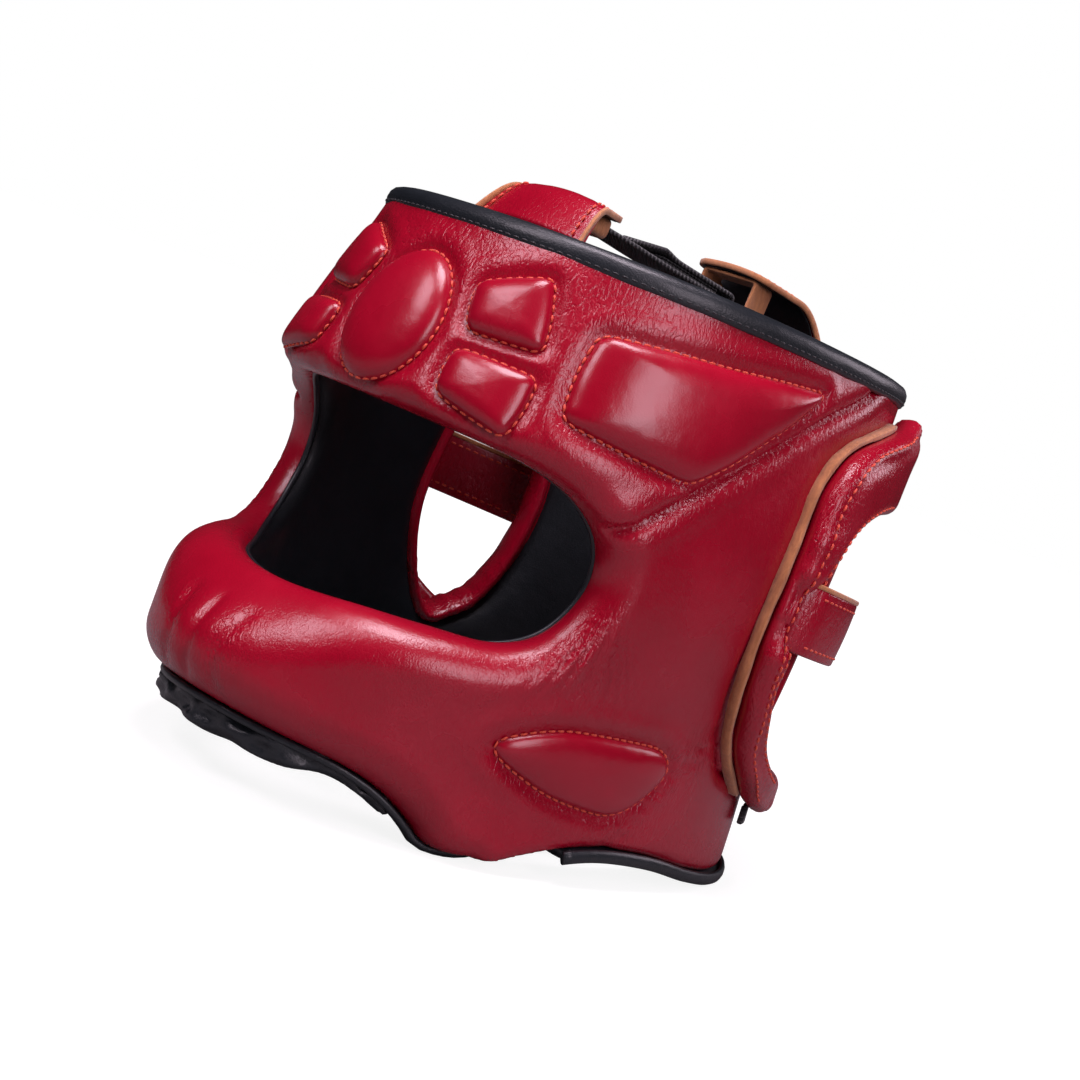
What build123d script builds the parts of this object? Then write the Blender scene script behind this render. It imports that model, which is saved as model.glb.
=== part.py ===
from build123d import *
from functools import lru_cache
import math
import os

os.makedirs("parts", exist_ok=True)

# Boxing headgear with a padded bar across the mouth, as an assembly of its sewn and strapped pieces.
# Millimetres. It is drawn in the head frame: +X wearer's left, +Y back of the head, +Z up, and height 0
# near the top rim. stand() then tips it onto the surface it stands on.

# ---- driving dimensions -------------------------------------------------------------------------

# Outer face of the padded shell: height, half width, reach to the front, reach to the back, and how
# square the front half and the back half of the plan are (2 is an ellipse).
STATIONS = [
    (40, 93, 108, 112, 2.15, 2.3),
    (0, 99, 119, 116, 2.2, 2.3),
    (-40, 103, 129, 120, 2.25, 2.15),
    (-80, 107, 138, 121, 2.4, 2.0),
    (-115, 107, 148, 120, 2.4, 2.0),
    (-155, 103, 158, 118, 2.2, 2.2),
    (-190, 101, 162, 121, 2.0, 2.5),
    (-245, 104, 155, 127, 2.0, 2.6),
]
PLAN_STEP = 15                 # degrees between the points a plan outline is drawn through

LEATHER = 1.8
FOAM = 17.0
LINING = 1.4
BAR_FOAM = 27.0
PLY_GAP = 0.2                  # between plies of the same sandwich
SEAM_GAP = 0.3                 # between panels sewn edge to edge
FOAM_TOP = LEATHER + PLY_GAP
FOAM_BACK = FOAM_TOP + FOAM
LINING_TOP = FOAM_BACK + PLY_GAP
WALL = LINING_TOP + LINING
BAR_BACK = FOAM_TOP + BAR_FOAM

RIM_HEIGHT = 2.5               # of the rim where it passes over the ears
RIM_SLOPE = 3.55               # degrees the rim climbs towards the back
RIM_BINDING_DEPTH = 7.5
BINDING_THICKNESS = 1.3
RIM_SEAT = 3.0                 # how far the shell stops below the top of the rim binding

STAND_TILT = 5.86              # degrees from the head frame to standing
FLOOR_SLOPE = math.tan(math.radians(STAND_TILT))
JAW_LOW = (-78, -228.5)        # depth and height of the lowest point of the jaw, binding included
STAND_SHIFT = 10.3             # centres the standing headgear over the origin, front to back

REACH = 200                    # longer than anything here, for cutting tools
ACROSS = (-REACH, REACH)
TALL = (-1.5 * REACH, REACH)   # heights that take in everything


def floor_height(depth):
    """Height of the surface the headgear stands on, at a depth in the head frame."""
    return JAW_LOW[1] + (depth - JAW_LOW[0]) * FLOOR_SLOPE


# Side views, as (depth, height) pairs.
FACE_OPENING = [
    (-200, -84), (-135, -85), (-107, -86), (-89, -91), (-76, -101), (-71, -114), (-73, -128),
    (-80, -141), (-93, -149), (-112, -152), (-130, -155), (-143, -160), (-153, -167), (-166, -173),
    (-200, -175),
]
BASE_BINDING_DEPTH = 5.0
JAW_BINDING_DEPTH = 3.0
BINDING_PROUD = 1.0            # of the base binding and the opening rolls beyond the wall
JAW_BINDING_INSET = 1.0
BASE_FRONT = [
    (-200, -204), (-163, -205.5), (-140, -208), (-118, -210), (-103, -214.5), (-91, -221.5),
]
JAW_FLAT = (-85, -71)
BASE_MIDDLE = [(-56, -218), (-38, -211), (-18, -207), (10, -206), (40, -208)]
NECK_FLAT = (74, 140)
BASE_SPLIT_DEPTH = -40         # where the jaw binding ends and the base binding starts
SHELL_SEAM = [(-84, -101), (-76, -92), (-54, -70), (-28, -48), (0, -25), (25, -9), (44, 8), (56, 26)]
WING_EDGE = [
    (78, -4), (66, -10), (25, -28), (10, -46), (7, -66), (6, -84), (6, -102), (8, -118), (17, -138),
    (33, -157), (60, -172), (74, -178),
]
WING_BOTTOM = -178
WING_TOP = -8
WING_FOAM = 9.0
WING_LEATHER = 1.8
WING_OUT = PLY_GAP + WING_FOAM + PLY_GAP + WING_LEATHER

WING_BACK = 92                 # depth the wings reach
# The wings are C-shaped: the notch behind them, in side view.
WING_NOTCH = [
    (110, -45), (66, -47), (40, -56), (27, -69), (21, -86), (19, -105), (21, -128), (30, -146),
    (46, -157), (66, -161), (110, -162),
]
WING_EDGE_WIDTH = 3.0          # raw edge of hide showing along the wing's front
WING_EDGE_SPAN = (-175, -12)   # heights it shows between
WING_EDGE_OUT = 4.0
WING_TAB = (74, 86)            # depths of the webbing tab under the wing
WING_TAB_DROP = 8.0
WING_TAB_OUT = 7.0

# Opening behind each ear, in side view, as a closed ring from the top round by the front.
SIDE_OPENING = [
    (38, -54), (24, -60), (16, -76), (14, -95), (14, -115), (15, -130), (18, -146), (24, -158),
    (35, -164), (46, -157), (54, -147), (60, -131), (63, -113), (63, -92), (59, -72), (51, -60),
]
OPENING_ROLL = 7.0             # width of the rolled leather edge round it
BACK_HALF_WIDTH = 42           # of the panel down the middle of the back
BACK_PANEL_DEPTH = 40          # it lies behind this depth

BAR_SPLIT_DEPTH = -84          # where the bar foam meets the cheek foam
BAR_TOP = -120                 # height the bar's pieces stay under
BAR_CORE_MARGIN = 4.0          # of the stiffener's ends from the ends of the bar foam
BAR_CORE_SPAN = (-197, -181)   # heights of the stiffener in the bar
BAR_CORE_INSET = (12.0, 16.0)
CHIN_ROLL_DEPTH = 12.0         # black roll under the bar
CHIN_ROLL_INSET = (7.0, 30.0)
CHIN_ROLL_END = -104

PAD_RISE = 6.0
OVAL_PAD = (21.0, 27.0)        # half width, half height
OVAL_HEIGHT = -54
# Raised pads on the left half, as corners given by angle from the front in degrees, and height.
PADS = {
    "upper": [(11.2, -32), (23.4, -20.5), (27.3, -48), (13.6, -50.5)],
    "lower": [(13.7, -57), (28.6, -56.5), (27.7, -81.5), (14.2, -75)],
    "temple": [(33.6, -33), (60, -24), (88, -15.5), (73, -45), (59, -70), (33.7, -67)],
    "jaw": [(42, -183), (55, -168), (84, -163), (90, -173), (79, -195), (58, -194)],
}
PAD_CORNER = 4.0
PAD_TOOL = 30.0                # reach of the tool that cuts a pad, each way from the face

# Crown flaps: depths of root and free end, heights of the underside there, and the depth each rises over.
CROWN_FLAPS = {"front": (-89, -58, -9.0, 16.0, 18.0), "rear": (88, 38, 2.0, 27.0, 30.0)}
FLAP_THICKNESS = 2.0
FLAP_LINING = 1.2
FLAP_ROOT_HALF = 30.0
FLAP_END_HALF = 18.0
FLAP_ROOT_DEPTH = 92.0         # where the flaps would start to rise
FLAP_STEPS = 8                 # a flap's line is drawn through this many steps
KEEPER_LENGTH = 14.0
KEEPER_INSET = 8.0             # of a keeper's middle from the flap's free end
WEBBING_INSET = 18.0           # of the crown webbing's end from the flap's free end
KEEPER_THICKNESS = 1.6
WEBBING_WIDTH = 25.0
WEBBING_THICKNESS = 1.8
PATCH_THICKNESS = 0.8
CONTACT_GAP = 0.4              # between pieces of different bodies
CROWN_TAIL = (-20, 29)         # depths of the crown strap's free end, from its tip to where it bends
CROWN_FOLD = (30, 34)          # depths of the bend that joins it to the webbing under it
CROWN_CLOSURE = (-17, 22)      # depths the closure patches cover

STRAP_SPAN = (-111, -84)       # heights of the rear strap
STRAP_LEATHER = 3.2
TAB_LEATHER = 1.8
STRAP_CLEAR = 0.4              # between the strap and what it lies on
STRAP_DOWN = (40, 74)          # degrees from the back over which it comes down off the wings
# Degrees from the front: each side's strap is sewn under its wing's edge and on the back panel, and the
# free tab goes on from the end of the left one, over the back panel.
STRAP_ENDS = {"left": (94, 150), "right": (210, 266)}
TAB_ENDS = (150.5, 208)
STRAP_PATCH = (157, 203)       # angles the closure patches cover
TAB_MARGIN = 1.0               # of the tab inside the strap's edges
PATCH_MARGIN = 3.0             # of the closure patches inside the strap's edges

CHIN_STRAP_WIDTH = 25.0
CHIN_STRAP_DEPTH = -9.0        # depth of its centre line
CHIN_ANCHOR_HALF = 66.0
CHIN_ANCHOR_TOP = -178
CHIN_TAB_END = 12.0
CHIN_STRAP_ENDS = (-65.0, 58.0)
CHIN_STRAP_LOW = -219.2
CHIN_CLOSURE = (18, 52)
CLOSURE_MARGIN = 2.0           # of the closure patches inside the webbing's edges
SEWN_GAP = 0.05                # between a patch and the tape it is sewn to


# ---- shapes the pieces are cut from -------------------------------------------------------------

def station_at(height):
    """The plan dimensions at a height, between the two nearest stations."""
    for upper, lower in zip(STATIONS, STATIONS[1:]):
        if lower[0] <= height <= upper[0]:
            share = (upper[0] - height) / (upper[0] - lower[0])
            return [a + share * (b - a) for a, b in zip(upper, lower)]
    raise ValueError("height outside the stations")


def plan_point(angle, station, inset):
    """A point on the shell's plan, by angle from the front towards the wearer's left."""
    height, half_width, front, back, front_squareness, back_squareness = station
    across = math.sin(math.radians(angle))
    ahead = math.cos(math.radians(angle))
    reach = front if ahead > 0 else back
    power = front_squareness if ahead > 0 else back_squareness
    total = abs(across / (half_width - inset)) ** power + abs(ahead / (reach - inset)) ** power
    radius = total ** (-1 / power)
    return Vector(radius * across, -radius * ahead, height)


def strap_lift(angle):
    """How far the rear strap's line stands off the shell: over the wings at the sides, down at the back."""
    low, high = STRAP_DOWN
    share = min(1.0, max(0.0, (abs(180 - angle) - low) / (high - low)))
    return WING_OUT * share * share * (3 - 2 * share)


@lru_cache(maxsize=None)
def form(inset, over_wings=False):
    """The solid inside the shell's outer face, moved in by an inset, or inside the rear strap's line."""
    angles = [float(angle) for angle in range(0, 361, PLAN_STEP)]
    wires = []
    for station in STATIONS:
        insets = [inset - over_wings * strap_lift(angle) for angle in angles]
        points = [plan_point(angle, station, depth) for angle, depth in zip(angles[:-1], insets)]
        wires.append(Wire([Edge.make_spline(points, periodic=True, parameters=angles)]))
    return Solid.make_loft(wires)


@lru_cache(maxsize=None)
def ply(outer, inner, over_wings=False):
    """A ply of the shell between two insets, or of the rear strap."""
    return form(outer, over_wings) - form(inner, over_wings)


def block(x, y, z):
    """A box from its limits along each axis."""
    size = [limits[1] - limits[0] for limits in (x, y, z)]
    centre = [(limits[1] + limits[0]) / 2 for limits in (x, y, z)]
    return Pos(*centre) * Box(*size)


def face_inside(*curves):
    """The flat face inside a closed run of curves."""
    return Face(Wire([edge for curve in curves for edge in curve.edges()]))


def side_prism(smooth, closing, shift=0.0):
    """A solid right across the headgear, bounded in side view by a smooth curve and straight lines."""
    curve = [(-REACH, depth, height + shift) for depth, height in smooth]
    corners = [curve[-1]] + [(-REACH, depth, height) for depth, height in closing] + [curve[0]]
    sides = [Line(start, end) for start, end in zip(corners, corners[1:])]
    return extrude(face_inside(Spline(*curve), *sides), 2 * REACH, dir=(1, 0, 0))


def under_floor_line(drop):
    """Everything below the shell's lower edge, the edge moved down by a drop."""
    front = [(-REACH, depth, height - drop) for depth, height in BASE_FRONT]
    middle = [(-REACH, depth, height - drop) for depth, height in BASE_MIDDLE]
    jaw = [
        (-REACH, depth, floor_height(depth) + JAW_BINDING_DEPTH - drop) for depth in JAW_FLAT
    ]
    neck = [
        (-REACH, depth, floor_height(depth) + BASE_BINDING_DEPTH - drop) for depth in NECK_FLAT
    ]
    deep = [(-REACH, NECK_FLAT[1], TALL[0]), (-REACH, front[0][1], TALL[0])]
    outline = face_inside(
        Spline(*front, jaw[0]),
        Line(jaw[0], jaw[1]),
        Spline(jaw[1], *middle, neck[0]),
        Line(neck[0], neck[1]),
        Polyline(neck[1], *deep, front[0]),
    )
    return extrude(outline, 2 * REACH, dir=(1, 0, 0))


def above_rim(drop):
    """Everything above the rim's plane, the plane moved down by a drop."""
    slab = Pos(0, 0, REACH / 2) * Box(3 * REACH, 3 * REACH, REACH)
    return Pos(0, 0, RIM_HEIGHT - drop) * Rot(RIM_SLOPE, 0, 0) * slab


def side_window(margin):
    """The openings behind the ears as one solid right across, grown by a margin."""
    ring = []
    befores = SIDE_OPENING[-1:] + SIDE_OPENING[:-1]
    afters = SIDE_OPENING[1:] + SIDE_OPENING[:1]
    for before, here, after in zip(befores, SIDE_OPENING, afters):
        run, rise = after[0] - before[0], after[1] - before[1]
        share = margin / math.hypot(run, rise)
        ring.append((-REACH, here[0] + rise * share, here[1] - run * share))
    return extrude(face_inside(Spline(*ring, periodic=True)), 2 * REACH, dir=(1, 0, 0))


def wall_plane(angle, height, inset=0.0):
    """A plane on the shell's face: its own x runs round towards the back, its z points outwards."""
    station = station_at(height)
    here = plan_point(angle, station, inset)
    ahead = plan_point(angle + 1, station, inset)
    behind = plan_point(angle - 1, station, inset)
    along = (ahead - behind).normalized()
    return Plane(origin=here, x_dir=along, z_dir=along.cross(Vector(0, 0, 1)))


def behind(depth, top=REACH):
    """Everything further back than a depth, under a height."""
    return block(ACROSS, (depth, REACH), (TALL[0], top))


def ahead_of(depth, top=REACH):
    """Everything further forward than a depth, under a height."""
    return block(ACROSS, (-REACH, depth), (TALL[0], top))


def back_zone(half_width):
    """The middle of the back, out to a half width."""
    return block((-half_width, half_width), (BACK_PANEL_DEPTH, REACH), TALL)


HALVES = {
    "left": block((SEAM_GAP / 2, REACH), ACROSS, TALL),
    "right": block((-REACH, -SEAM_GAP / 2), ACROSS, TALL),
}
FACE_CUT = side_prism(FACE_OPENING, [])
SEAM_END, SEAM_START = SHELL_SEAM[-1], SHELL_SEAM[0]
OVER_SEAM = [(SEAM_END[0], REACH / 2), (-REACH, REACH / 2)]
ABOVE_SEAM = side_prism(SHELL_SEAM, OVER_SEAM + [(-REACH, SEAM_START[1])])
ABOVE_SEAM_WIDE = side_prism(SHELL_SEAM, OVER_SEAM + [(-REACH, SEAM_START[1] - SEAM_GAP)], -SEAM_GAP)
BELOW_BASE = under_floor_line(0)
RIM_CUT = above_rim(RIM_SEAT)
WINDOW_CUT = side_window(OPENING_ROLL + PLY_GAP)
BACK_ZONE = back_zone(BACK_HALF_WIDTH)
BACK_ZONE_WIDE = back_zone(BACK_HALF_WIDTH + SEAM_GAP)


def trimmed(solid):
    """A ply with the face opening, the side openings, the rim and the lower edge cut away."""
    return solid - FACE_CUT - WINDOW_CUT - RIM_CUT - BELOW_BASE


parts = {}


def pair(name, solid):
    """The left and right halves of a solid, as two pieces."""
    for side, half in HALVES.items():
        parts[f"{side}_{name}"] = solid & half


# ---- leather shell, foam and lining -------------------------------------------------------------

skin = trimmed(ply(0, LEATHER))
parts["forehead_shell"] = skin & ABOVE_SEAM
lower_skin = skin - ABOVE_SEAM_WIDE
pair("cheek_shell", lower_skin - BACK_ZONE_WIDE)
parts["back_shell"] = lower_skin & BACK_ZONE

foam = trimmed(ply(FOAM_TOP, FOAM_BACK))
parts["forehead_foam"] = foam & ABOVE_SEAM
lower_foam = foam - ABOVE_SEAM_WIDE
BAR_ZONE = ahead_of(BAR_SPLIT_DEPTH, BAR_TOP)
BAR_ZONE_WIDE = ahead_of(BAR_SPLIT_DEPTH + SEAM_GAP, BAR_TOP)
pair("cheek_foam", lower_foam - BACK_ZONE_WIDE - BAR_ZONE_WIDE)
parts["back_foam"] = lower_foam & BACK_ZONE

core_end = BAR_SPLIT_DEPTH - BAR_CORE_MARGIN
core_low, core_high = BAR_CORE_SPAN
core_pocket = ply(BAR_CORE_INSET[0] - PLY_GAP, BAR_CORE_INSET[1] + PLY_GAP) & block(
    ACROSS, (-REACH, core_end), (core_low - PLY_GAP, core_high + PLY_GAP)
)
parts["bar_foam"] = (trimmed(ply(FOAM_TOP, BAR_BACK)) & BAR_ZONE) - core_pocket
parts["bar_core"] = ply(*BAR_CORE_INSET) & block(ACROSS, (-REACH, core_end - PLY_GAP), BAR_CORE_SPAN)

lining = trimmed(ply(LINING_TOP, WALL))
parts["forehead_lining"] = lining & ABOVE_SEAM
lower_lining = lining - ABOVE_SEAM_WIDE
pair("cheek_lining", lower_lining - BACK_ZONE_WIDE - BAR_ZONE_WIDE)
parts["back_lining"] = lower_lining & BACK_ZONE
parts["bar_lining"] = trimmed(ply(BAR_BACK + PLY_GAP, BAR_BACK + PLY_GAP + LINING)) & BAR_ZONE
chin_ply = ply(*CHIN_ROLL_INSET) & ahead_of(CHIN_ROLL_END, BAR_TOP)
parts["chin_roll"] = (
    (chin_ply & under_floor_line(JAW_BINDING_DEPTH + PLY_GAP))
    - under_floor_line(JAW_BINDING_DEPTH + CHIN_ROLL_DEPTH)
)

# ---- raised pads --------------------------------------------------------------------------------

pad_ply = ply(-PAD_RISE, -PLY_GAP / 2)
oval = wall_plane(0, OVAL_HEIGHT) * Ellipse(*OVAL_PAD)
parts["centre_pad"] = pad_ply & extrude(oval, PAD_TOOL, both=True)
for side, sign in (("left", 1), ("right", -1)):
    for pad, corners in PADS.items():
        middle = sign * sum(angle for angle, _ in corners) / len(corners)
        level = sum(height for _, height in corners) / len(corners)
        plane = wall_plane(middle, level)
        ring = [plane.to_local_coords(plan_point(sign * a, station_at(h), 0)) for a, h in corners]
        outline = make_face(Polyline(*[(p.X, p.Y) for p in ring], close=True))
        outline = fillet(outline.vertices(), PAD_CORNER)
        parts[f"{side}_{pad}_pad"] = pad_ply & extrude(plane * outline, PAD_TOOL, both=True)

# ---- bindings -----------------------------------------------------------------------------------

binding_out = -BINDING_THICKNESS - PLY_GAP
binding_in = WALL + PLY_GAP + BINDING_THICKNESS
rim_channel = ply(-PLY_GAP, WALL + PLY_GAP) - above_rim(RIM_SEAT - PLY_GAP)
parts["rim_binding"] = (
    (ply(binding_out, binding_in) & above_rim(RIM_BINDING_DEPTH)) - above_rim(0) - rim_channel
)
proud_back = WALL + BINDING_PROUD
under_edge = under_floor_line(PLY_GAP)
base_strip = (ply(-BINDING_PROUD, proud_back) & under_edge) - under_floor_line(BASE_BINDING_DEPTH)
pair("base_binding", base_strip & behind(BASE_SPLIT_DEPTH))
jaw_strip = (ply(JAW_BINDING_INSET, proud_back) & under_edge) - under_floor_line(JAW_BINDING_DEPTH)
parts["chin_binding"] = jaw_strip & ahead_of(BASE_SPLIT_DEPTH - SEAM_GAP)
pair("opening_roll", ply(0, proud_back) & (side_window(OPENING_ROLL) - side_window(0)))

# ---- wings behind the ears ----------------------------------------------------------------------

wing_side = side_prism(WING_EDGE, [(REACH, WING_BOTTOM), (REACH, WING_TOP), (WING_EDGE[0][0], WING_TOP)])
notch_top, notch_bottom = WING_NOTCH[0][1], WING_NOTCH[-1][1]
notch = side_prism(WING_NOTCH, [(REACH, notch_bottom), (REACH, notch_top)])
wing_zone = wing_side - notch - behind(WING_BACK)
foam_out = -PLY_GAP - WING_FOAM
pair("wing_foam", ply(foam_out, -PLY_GAP) & wing_zone)
pair("wing_shell", ply(-WING_OUT, foam_out - PLY_GAP) & wing_zone)
edge_side = block(ACROSS, (-REACH, WING_EDGE[0][0]), WING_EDGE_SPAN)
edge_zone = (Pos(0, -WING_EDGE_WIDTH, 0) * wing_side & edge_side) - Pos(0, -PLY_GAP, 0) * wing_side
pair("wing_edge", ply(-WING_EDGE_OUT, -PLY_GAP) & edge_zone)
tab_zone = block(ACROSS, WING_TAB, (WING_BOTTOM - WING_TAB_DROP, WING_BOTTOM - PLY_GAP))
pair("wing_tab", ply(-WING_TAB_OUT, -PLY_GAP) & tab_zone)

# ---- rear strap ---------------------------------------------------------------------------------


def sector(start, end):
    """The wedge between two angles from the front, through the wearer's left, round the back."""
    rim = [
        (2 * REACH * math.sin(math.radians(angle)), -2 * REACH * math.cos(math.radians(angle)))
        for angle in (start, (start + end) / 2, end)
    ]
    wedge = make_face(Polyline((0, 0), *rim, close=True))
    return Pos(0, 0, TALL[0]) * extrude(wedge, TALL[1] - TALL[0])


def strap_band(margin):
    """The heights of the rear strap, less a margin at each edge."""
    return block(ACROSS, ACROSS, (STRAP_SPAN[0] + margin, STRAP_SPAN[1] - margin))


strap_in = -STRAP_CLEAR
strap = ply(strap_in - STRAP_LEATHER, strap_in, True) & strap_band(0)
for side, ends in STRAP_ENDS.items():
    parts[f"{side}_rear_strap"] = strap & sector(*ends)
loop_out = -PATCH_THICKNESS - PLY_GAP
hook_in = loop_out - CONTACT_GAP
hook_out = hook_in - PATCH_THICKNESS
tab_in = hook_out - PLY_GAP
parts["rear_loop_patch"] = ply(loop_out, -PLY_GAP) & strap_band(PATCH_MARGIN) & sector(*STRAP_PATCH)
parts["rear_hook_patch"] = ply(hook_out, hook_in) & strap_band(PATCH_MARGIN) & sector(*STRAP_PATCH)
parts["rear_strap_tab"] = ply(tab_in - TAB_LEATHER, tab_in) & strap_band(TAB_MARGIN) & sector(*TAB_ENDS)

# ---- crown flaps and crown strap ----------------------------------------------------------------


def flap_height(flap, depth):
    """Underside of a crown flap: low at the rim, level over the crown."""
    _, _, root, top, run = CROWN_FLAPS[flap]
    rise = min(1.0, (FLAP_ROOT_DEPTH - abs(depth)) / run)
    return root + (top - root) * math.sin(rise * math.pi / 2)


def flap_sheet(flap, bottom, thickness):
    """One ply of a crown flap, tapering from the rim to its free end."""
    near, far = CROWN_FLAPS[flap][:2]
    line = [near + (far - near) * i / FLAP_STEPS for i in range(FLAP_STEPS + 1)]
    low = [(0, depth, flap_height(flap, depth) + bottom) for depth in line]
    high = [(0, depth, height + thickness) for _, depth, height in reversed(low)]
    outline = face_inside(Spline(*low), Line(low[-1], high[0]), Spline(*high), Line(high[-1], low[0]))
    sheet = extrude(outline, REACH, dir=(1, 0, 0), both=True)
    plan = make_face(Polyline(
        (-FLAP_ROOT_HALF, near), (FLAP_ROOT_HALF, near), (FLAP_END_HALF, far), (-FLAP_END_HALF, far),
        close=True,
    ))
    return sheet & extrude(plan, REACH, both=True)


for flap in CROWN_FLAPS:
    parts[f"{flap}_crown_flap"] = flap_sheet(flap, 0, FLAP_THICKNESS)
    parts[f"{flap}_flap_lining"] = flap_sheet(flap, -FLAP_LINING - PLY_GAP, FLAP_LINING)

# The crown webbing runs level through a keeper loop under each flap.
keeper_tops = {flap: sizes[3] - FLAP_LINING - 2 * PLY_GAP for flap, sizes in CROWN_FLAPS.items()}
front_end, rear_end = CROWN_FLAPS["front"][1], CROWN_FLAPS["rear"][1]
webbing_top = keeper_tops["front"] - KEEPER_THICKNESS - 2 * CONTACT_GAP
keeper_half = WEBBING_WIDTH / 2 + CONTACT_GAP
keeper_low = webbing_top - 2 * WEBBING_THICKNESS - 2 * CONTACT_GAP
for flap, centre in (("front", front_end - KEEPER_INSET), ("rear", rear_end + KEEPER_INSET)):
    span = (centre - KEEPER_LENGTH / 2, centre + KEEPER_LENGTH / 2)
    keeper_top = keeper_tops[flap]
    shell = block(
        (-keeper_half - KEEPER_THICKNESS, keeper_half + KEEPER_THICKNESS), span,
        (keeper_low - KEEPER_THICKNESS, keeper_top)
    )
    hole = block((-keeper_half, keeper_half), ACROSS, (keeper_low, keeper_top - KEEPER_THICKNESS))
    parts[f"{flap}_keeper"] = shell - hole

half_webbing = WEBBING_WIDTH / 2
half_patch = half_webbing - CLOSURE_MARGIN
across_webbing, across_patch = (-half_webbing, half_webbing), (-half_patch, half_patch)
hook_low = webbing_top + PATCH_THICKNESS + CONTACT_GAP
tail_low = hook_low + PATCH_THICKNESS + SEWN_GAP
tail_top = tail_low + WEBBING_THICKNESS
parts["crown_webbing"] = block(
    across_webbing, (front_end - WEBBING_INSET, rear_end + WEBBING_INSET),
    (webbing_top - WEBBING_THICKNESS, webbing_top)
)
parts["crown_loop_patch"] = block(
    across_patch, CROWN_CLOSURE, (webbing_top + SEWN_GAP, webbing_top + PATCH_THICKNESS)
)
parts["crown_hook_patch"] = block(across_patch, CROWN_CLOSURE, (hook_low, hook_low + PATCH_THICKNESS))
parts["crown_tail"] = block(across_webbing, CROWN_TAIL, (tail_low, tail_top))
parts["crown_tail_fold"] = block(across_webbing, CROWN_FOLD, (webbing_top + SEWN_GAP, tail_top))

# ---- chin strap ---------------------------------------------------------------------------------

strap_depths = (CHIN_STRAP_DEPTH - CHIN_STRAP_WIDTH / 2, CHIN_STRAP_DEPTH + CHIN_STRAP_WIDTH / 2)
strap_top = CHIN_STRAP_LOW + WEBBING_THICKNESS
chin_hook_top = strap_top + SEWN_GAP + PATCH_THICKNESS
chin_loop_low = chin_hook_top + CONTACT_GAP
tab_low = chin_loop_low + PATCH_THICKNESS + SEWN_GAP
anchor_in = CHIN_ANCHOR_HALF - WEBBING_THICKNESS
upright = block((anchor_in, CHIN_ANCHOR_HALF), strap_depths, (tab_low, CHIN_ANCHOR_TOP))
left_tab = block((CHIN_TAB_END, anchor_in), strap_depths, (tab_low, tab_low + WEBBING_THICKNESS))
parts["left_chin_anchor"] = upright + left_tab
parts["right_chin_anchor"] = mirror(upright, about=Plane.YZ)
parts["chin_strap"] = block(CHIN_STRAP_ENDS, strap_depths, (CHIN_STRAP_LOW, strap_top))
closure_depths = (strap_depths[0] + CLOSURE_MARGIN, strap_depths[1] - CLOSURE_MARGIN)
parts["chin_hook_patch"] = block(CHIN_CLOSURE, closure_depths, (strap_top + SEWN_GAP, chin_hook_top))
parts["chin_loop_patch"] = block(CHIN_CLOSURE, closure_depths, (chin_loop_low, tab_low - SEWN_GAP))

# ---- standing position and export ---------------------------------------------------------------


def stand(solid):
    """Tip a piece from the head frame onto the surface, centred over the origin."""
    return Pos(0, STAND_SHIFT, 0) * Rot(-STAND_TILT, 0, 0) * Pos(0, 0, -floor_height(0)) * solid


for name, solid in parts.items():
    export_step(stand(solid), f"parts/{name}.step")
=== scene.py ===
import math

import bpy
import numpy as np
import openvdb as vdb
from mathutils import Matrix, Vector


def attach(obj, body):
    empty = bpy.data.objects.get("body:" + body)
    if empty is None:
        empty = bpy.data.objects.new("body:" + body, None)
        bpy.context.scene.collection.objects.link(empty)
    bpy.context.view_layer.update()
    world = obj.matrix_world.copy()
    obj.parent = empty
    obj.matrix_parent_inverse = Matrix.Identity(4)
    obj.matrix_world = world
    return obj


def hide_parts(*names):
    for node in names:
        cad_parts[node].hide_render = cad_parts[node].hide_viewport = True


# Boxing headgear with a padded face bar: the looks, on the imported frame.
# Shapes are worked out in the head frame (millimetres, +X wearer's left, +Y back, +Z up, height 0 near
# the rim), the same as the solids', and stand() takes them to the row frame in metres.

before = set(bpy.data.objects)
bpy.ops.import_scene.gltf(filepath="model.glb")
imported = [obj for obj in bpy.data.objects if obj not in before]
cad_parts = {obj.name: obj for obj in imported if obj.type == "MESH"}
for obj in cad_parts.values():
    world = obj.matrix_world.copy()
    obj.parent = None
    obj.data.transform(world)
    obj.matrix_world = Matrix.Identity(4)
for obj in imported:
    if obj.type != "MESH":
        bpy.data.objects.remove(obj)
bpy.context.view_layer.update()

# ---- dimensions shared with the solids ----------------------------------------------------------

# height, half width, reach to the front, reach to the back, squareness of the front and of the back
STATIONS = np.array([
    (40, 93, 108, 112, 2.15, 2.3),
    (0, 99, 119, 116, 2.2, 2.3),
    (-40, 103, 129, 120, 2.25, 2.15),
    (-80, 107, 138, 121, 2.4, 2.0),
    (-115, 107, 148, 120, 2.4, 2.0),
    (-155, 103, 158, 118, 2.2, 2.2),
    (-190, 101, 162, 121, 2.0, 2.5),
    (-245, 104, 155, 127, 2.0, 2.6),
])
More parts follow.
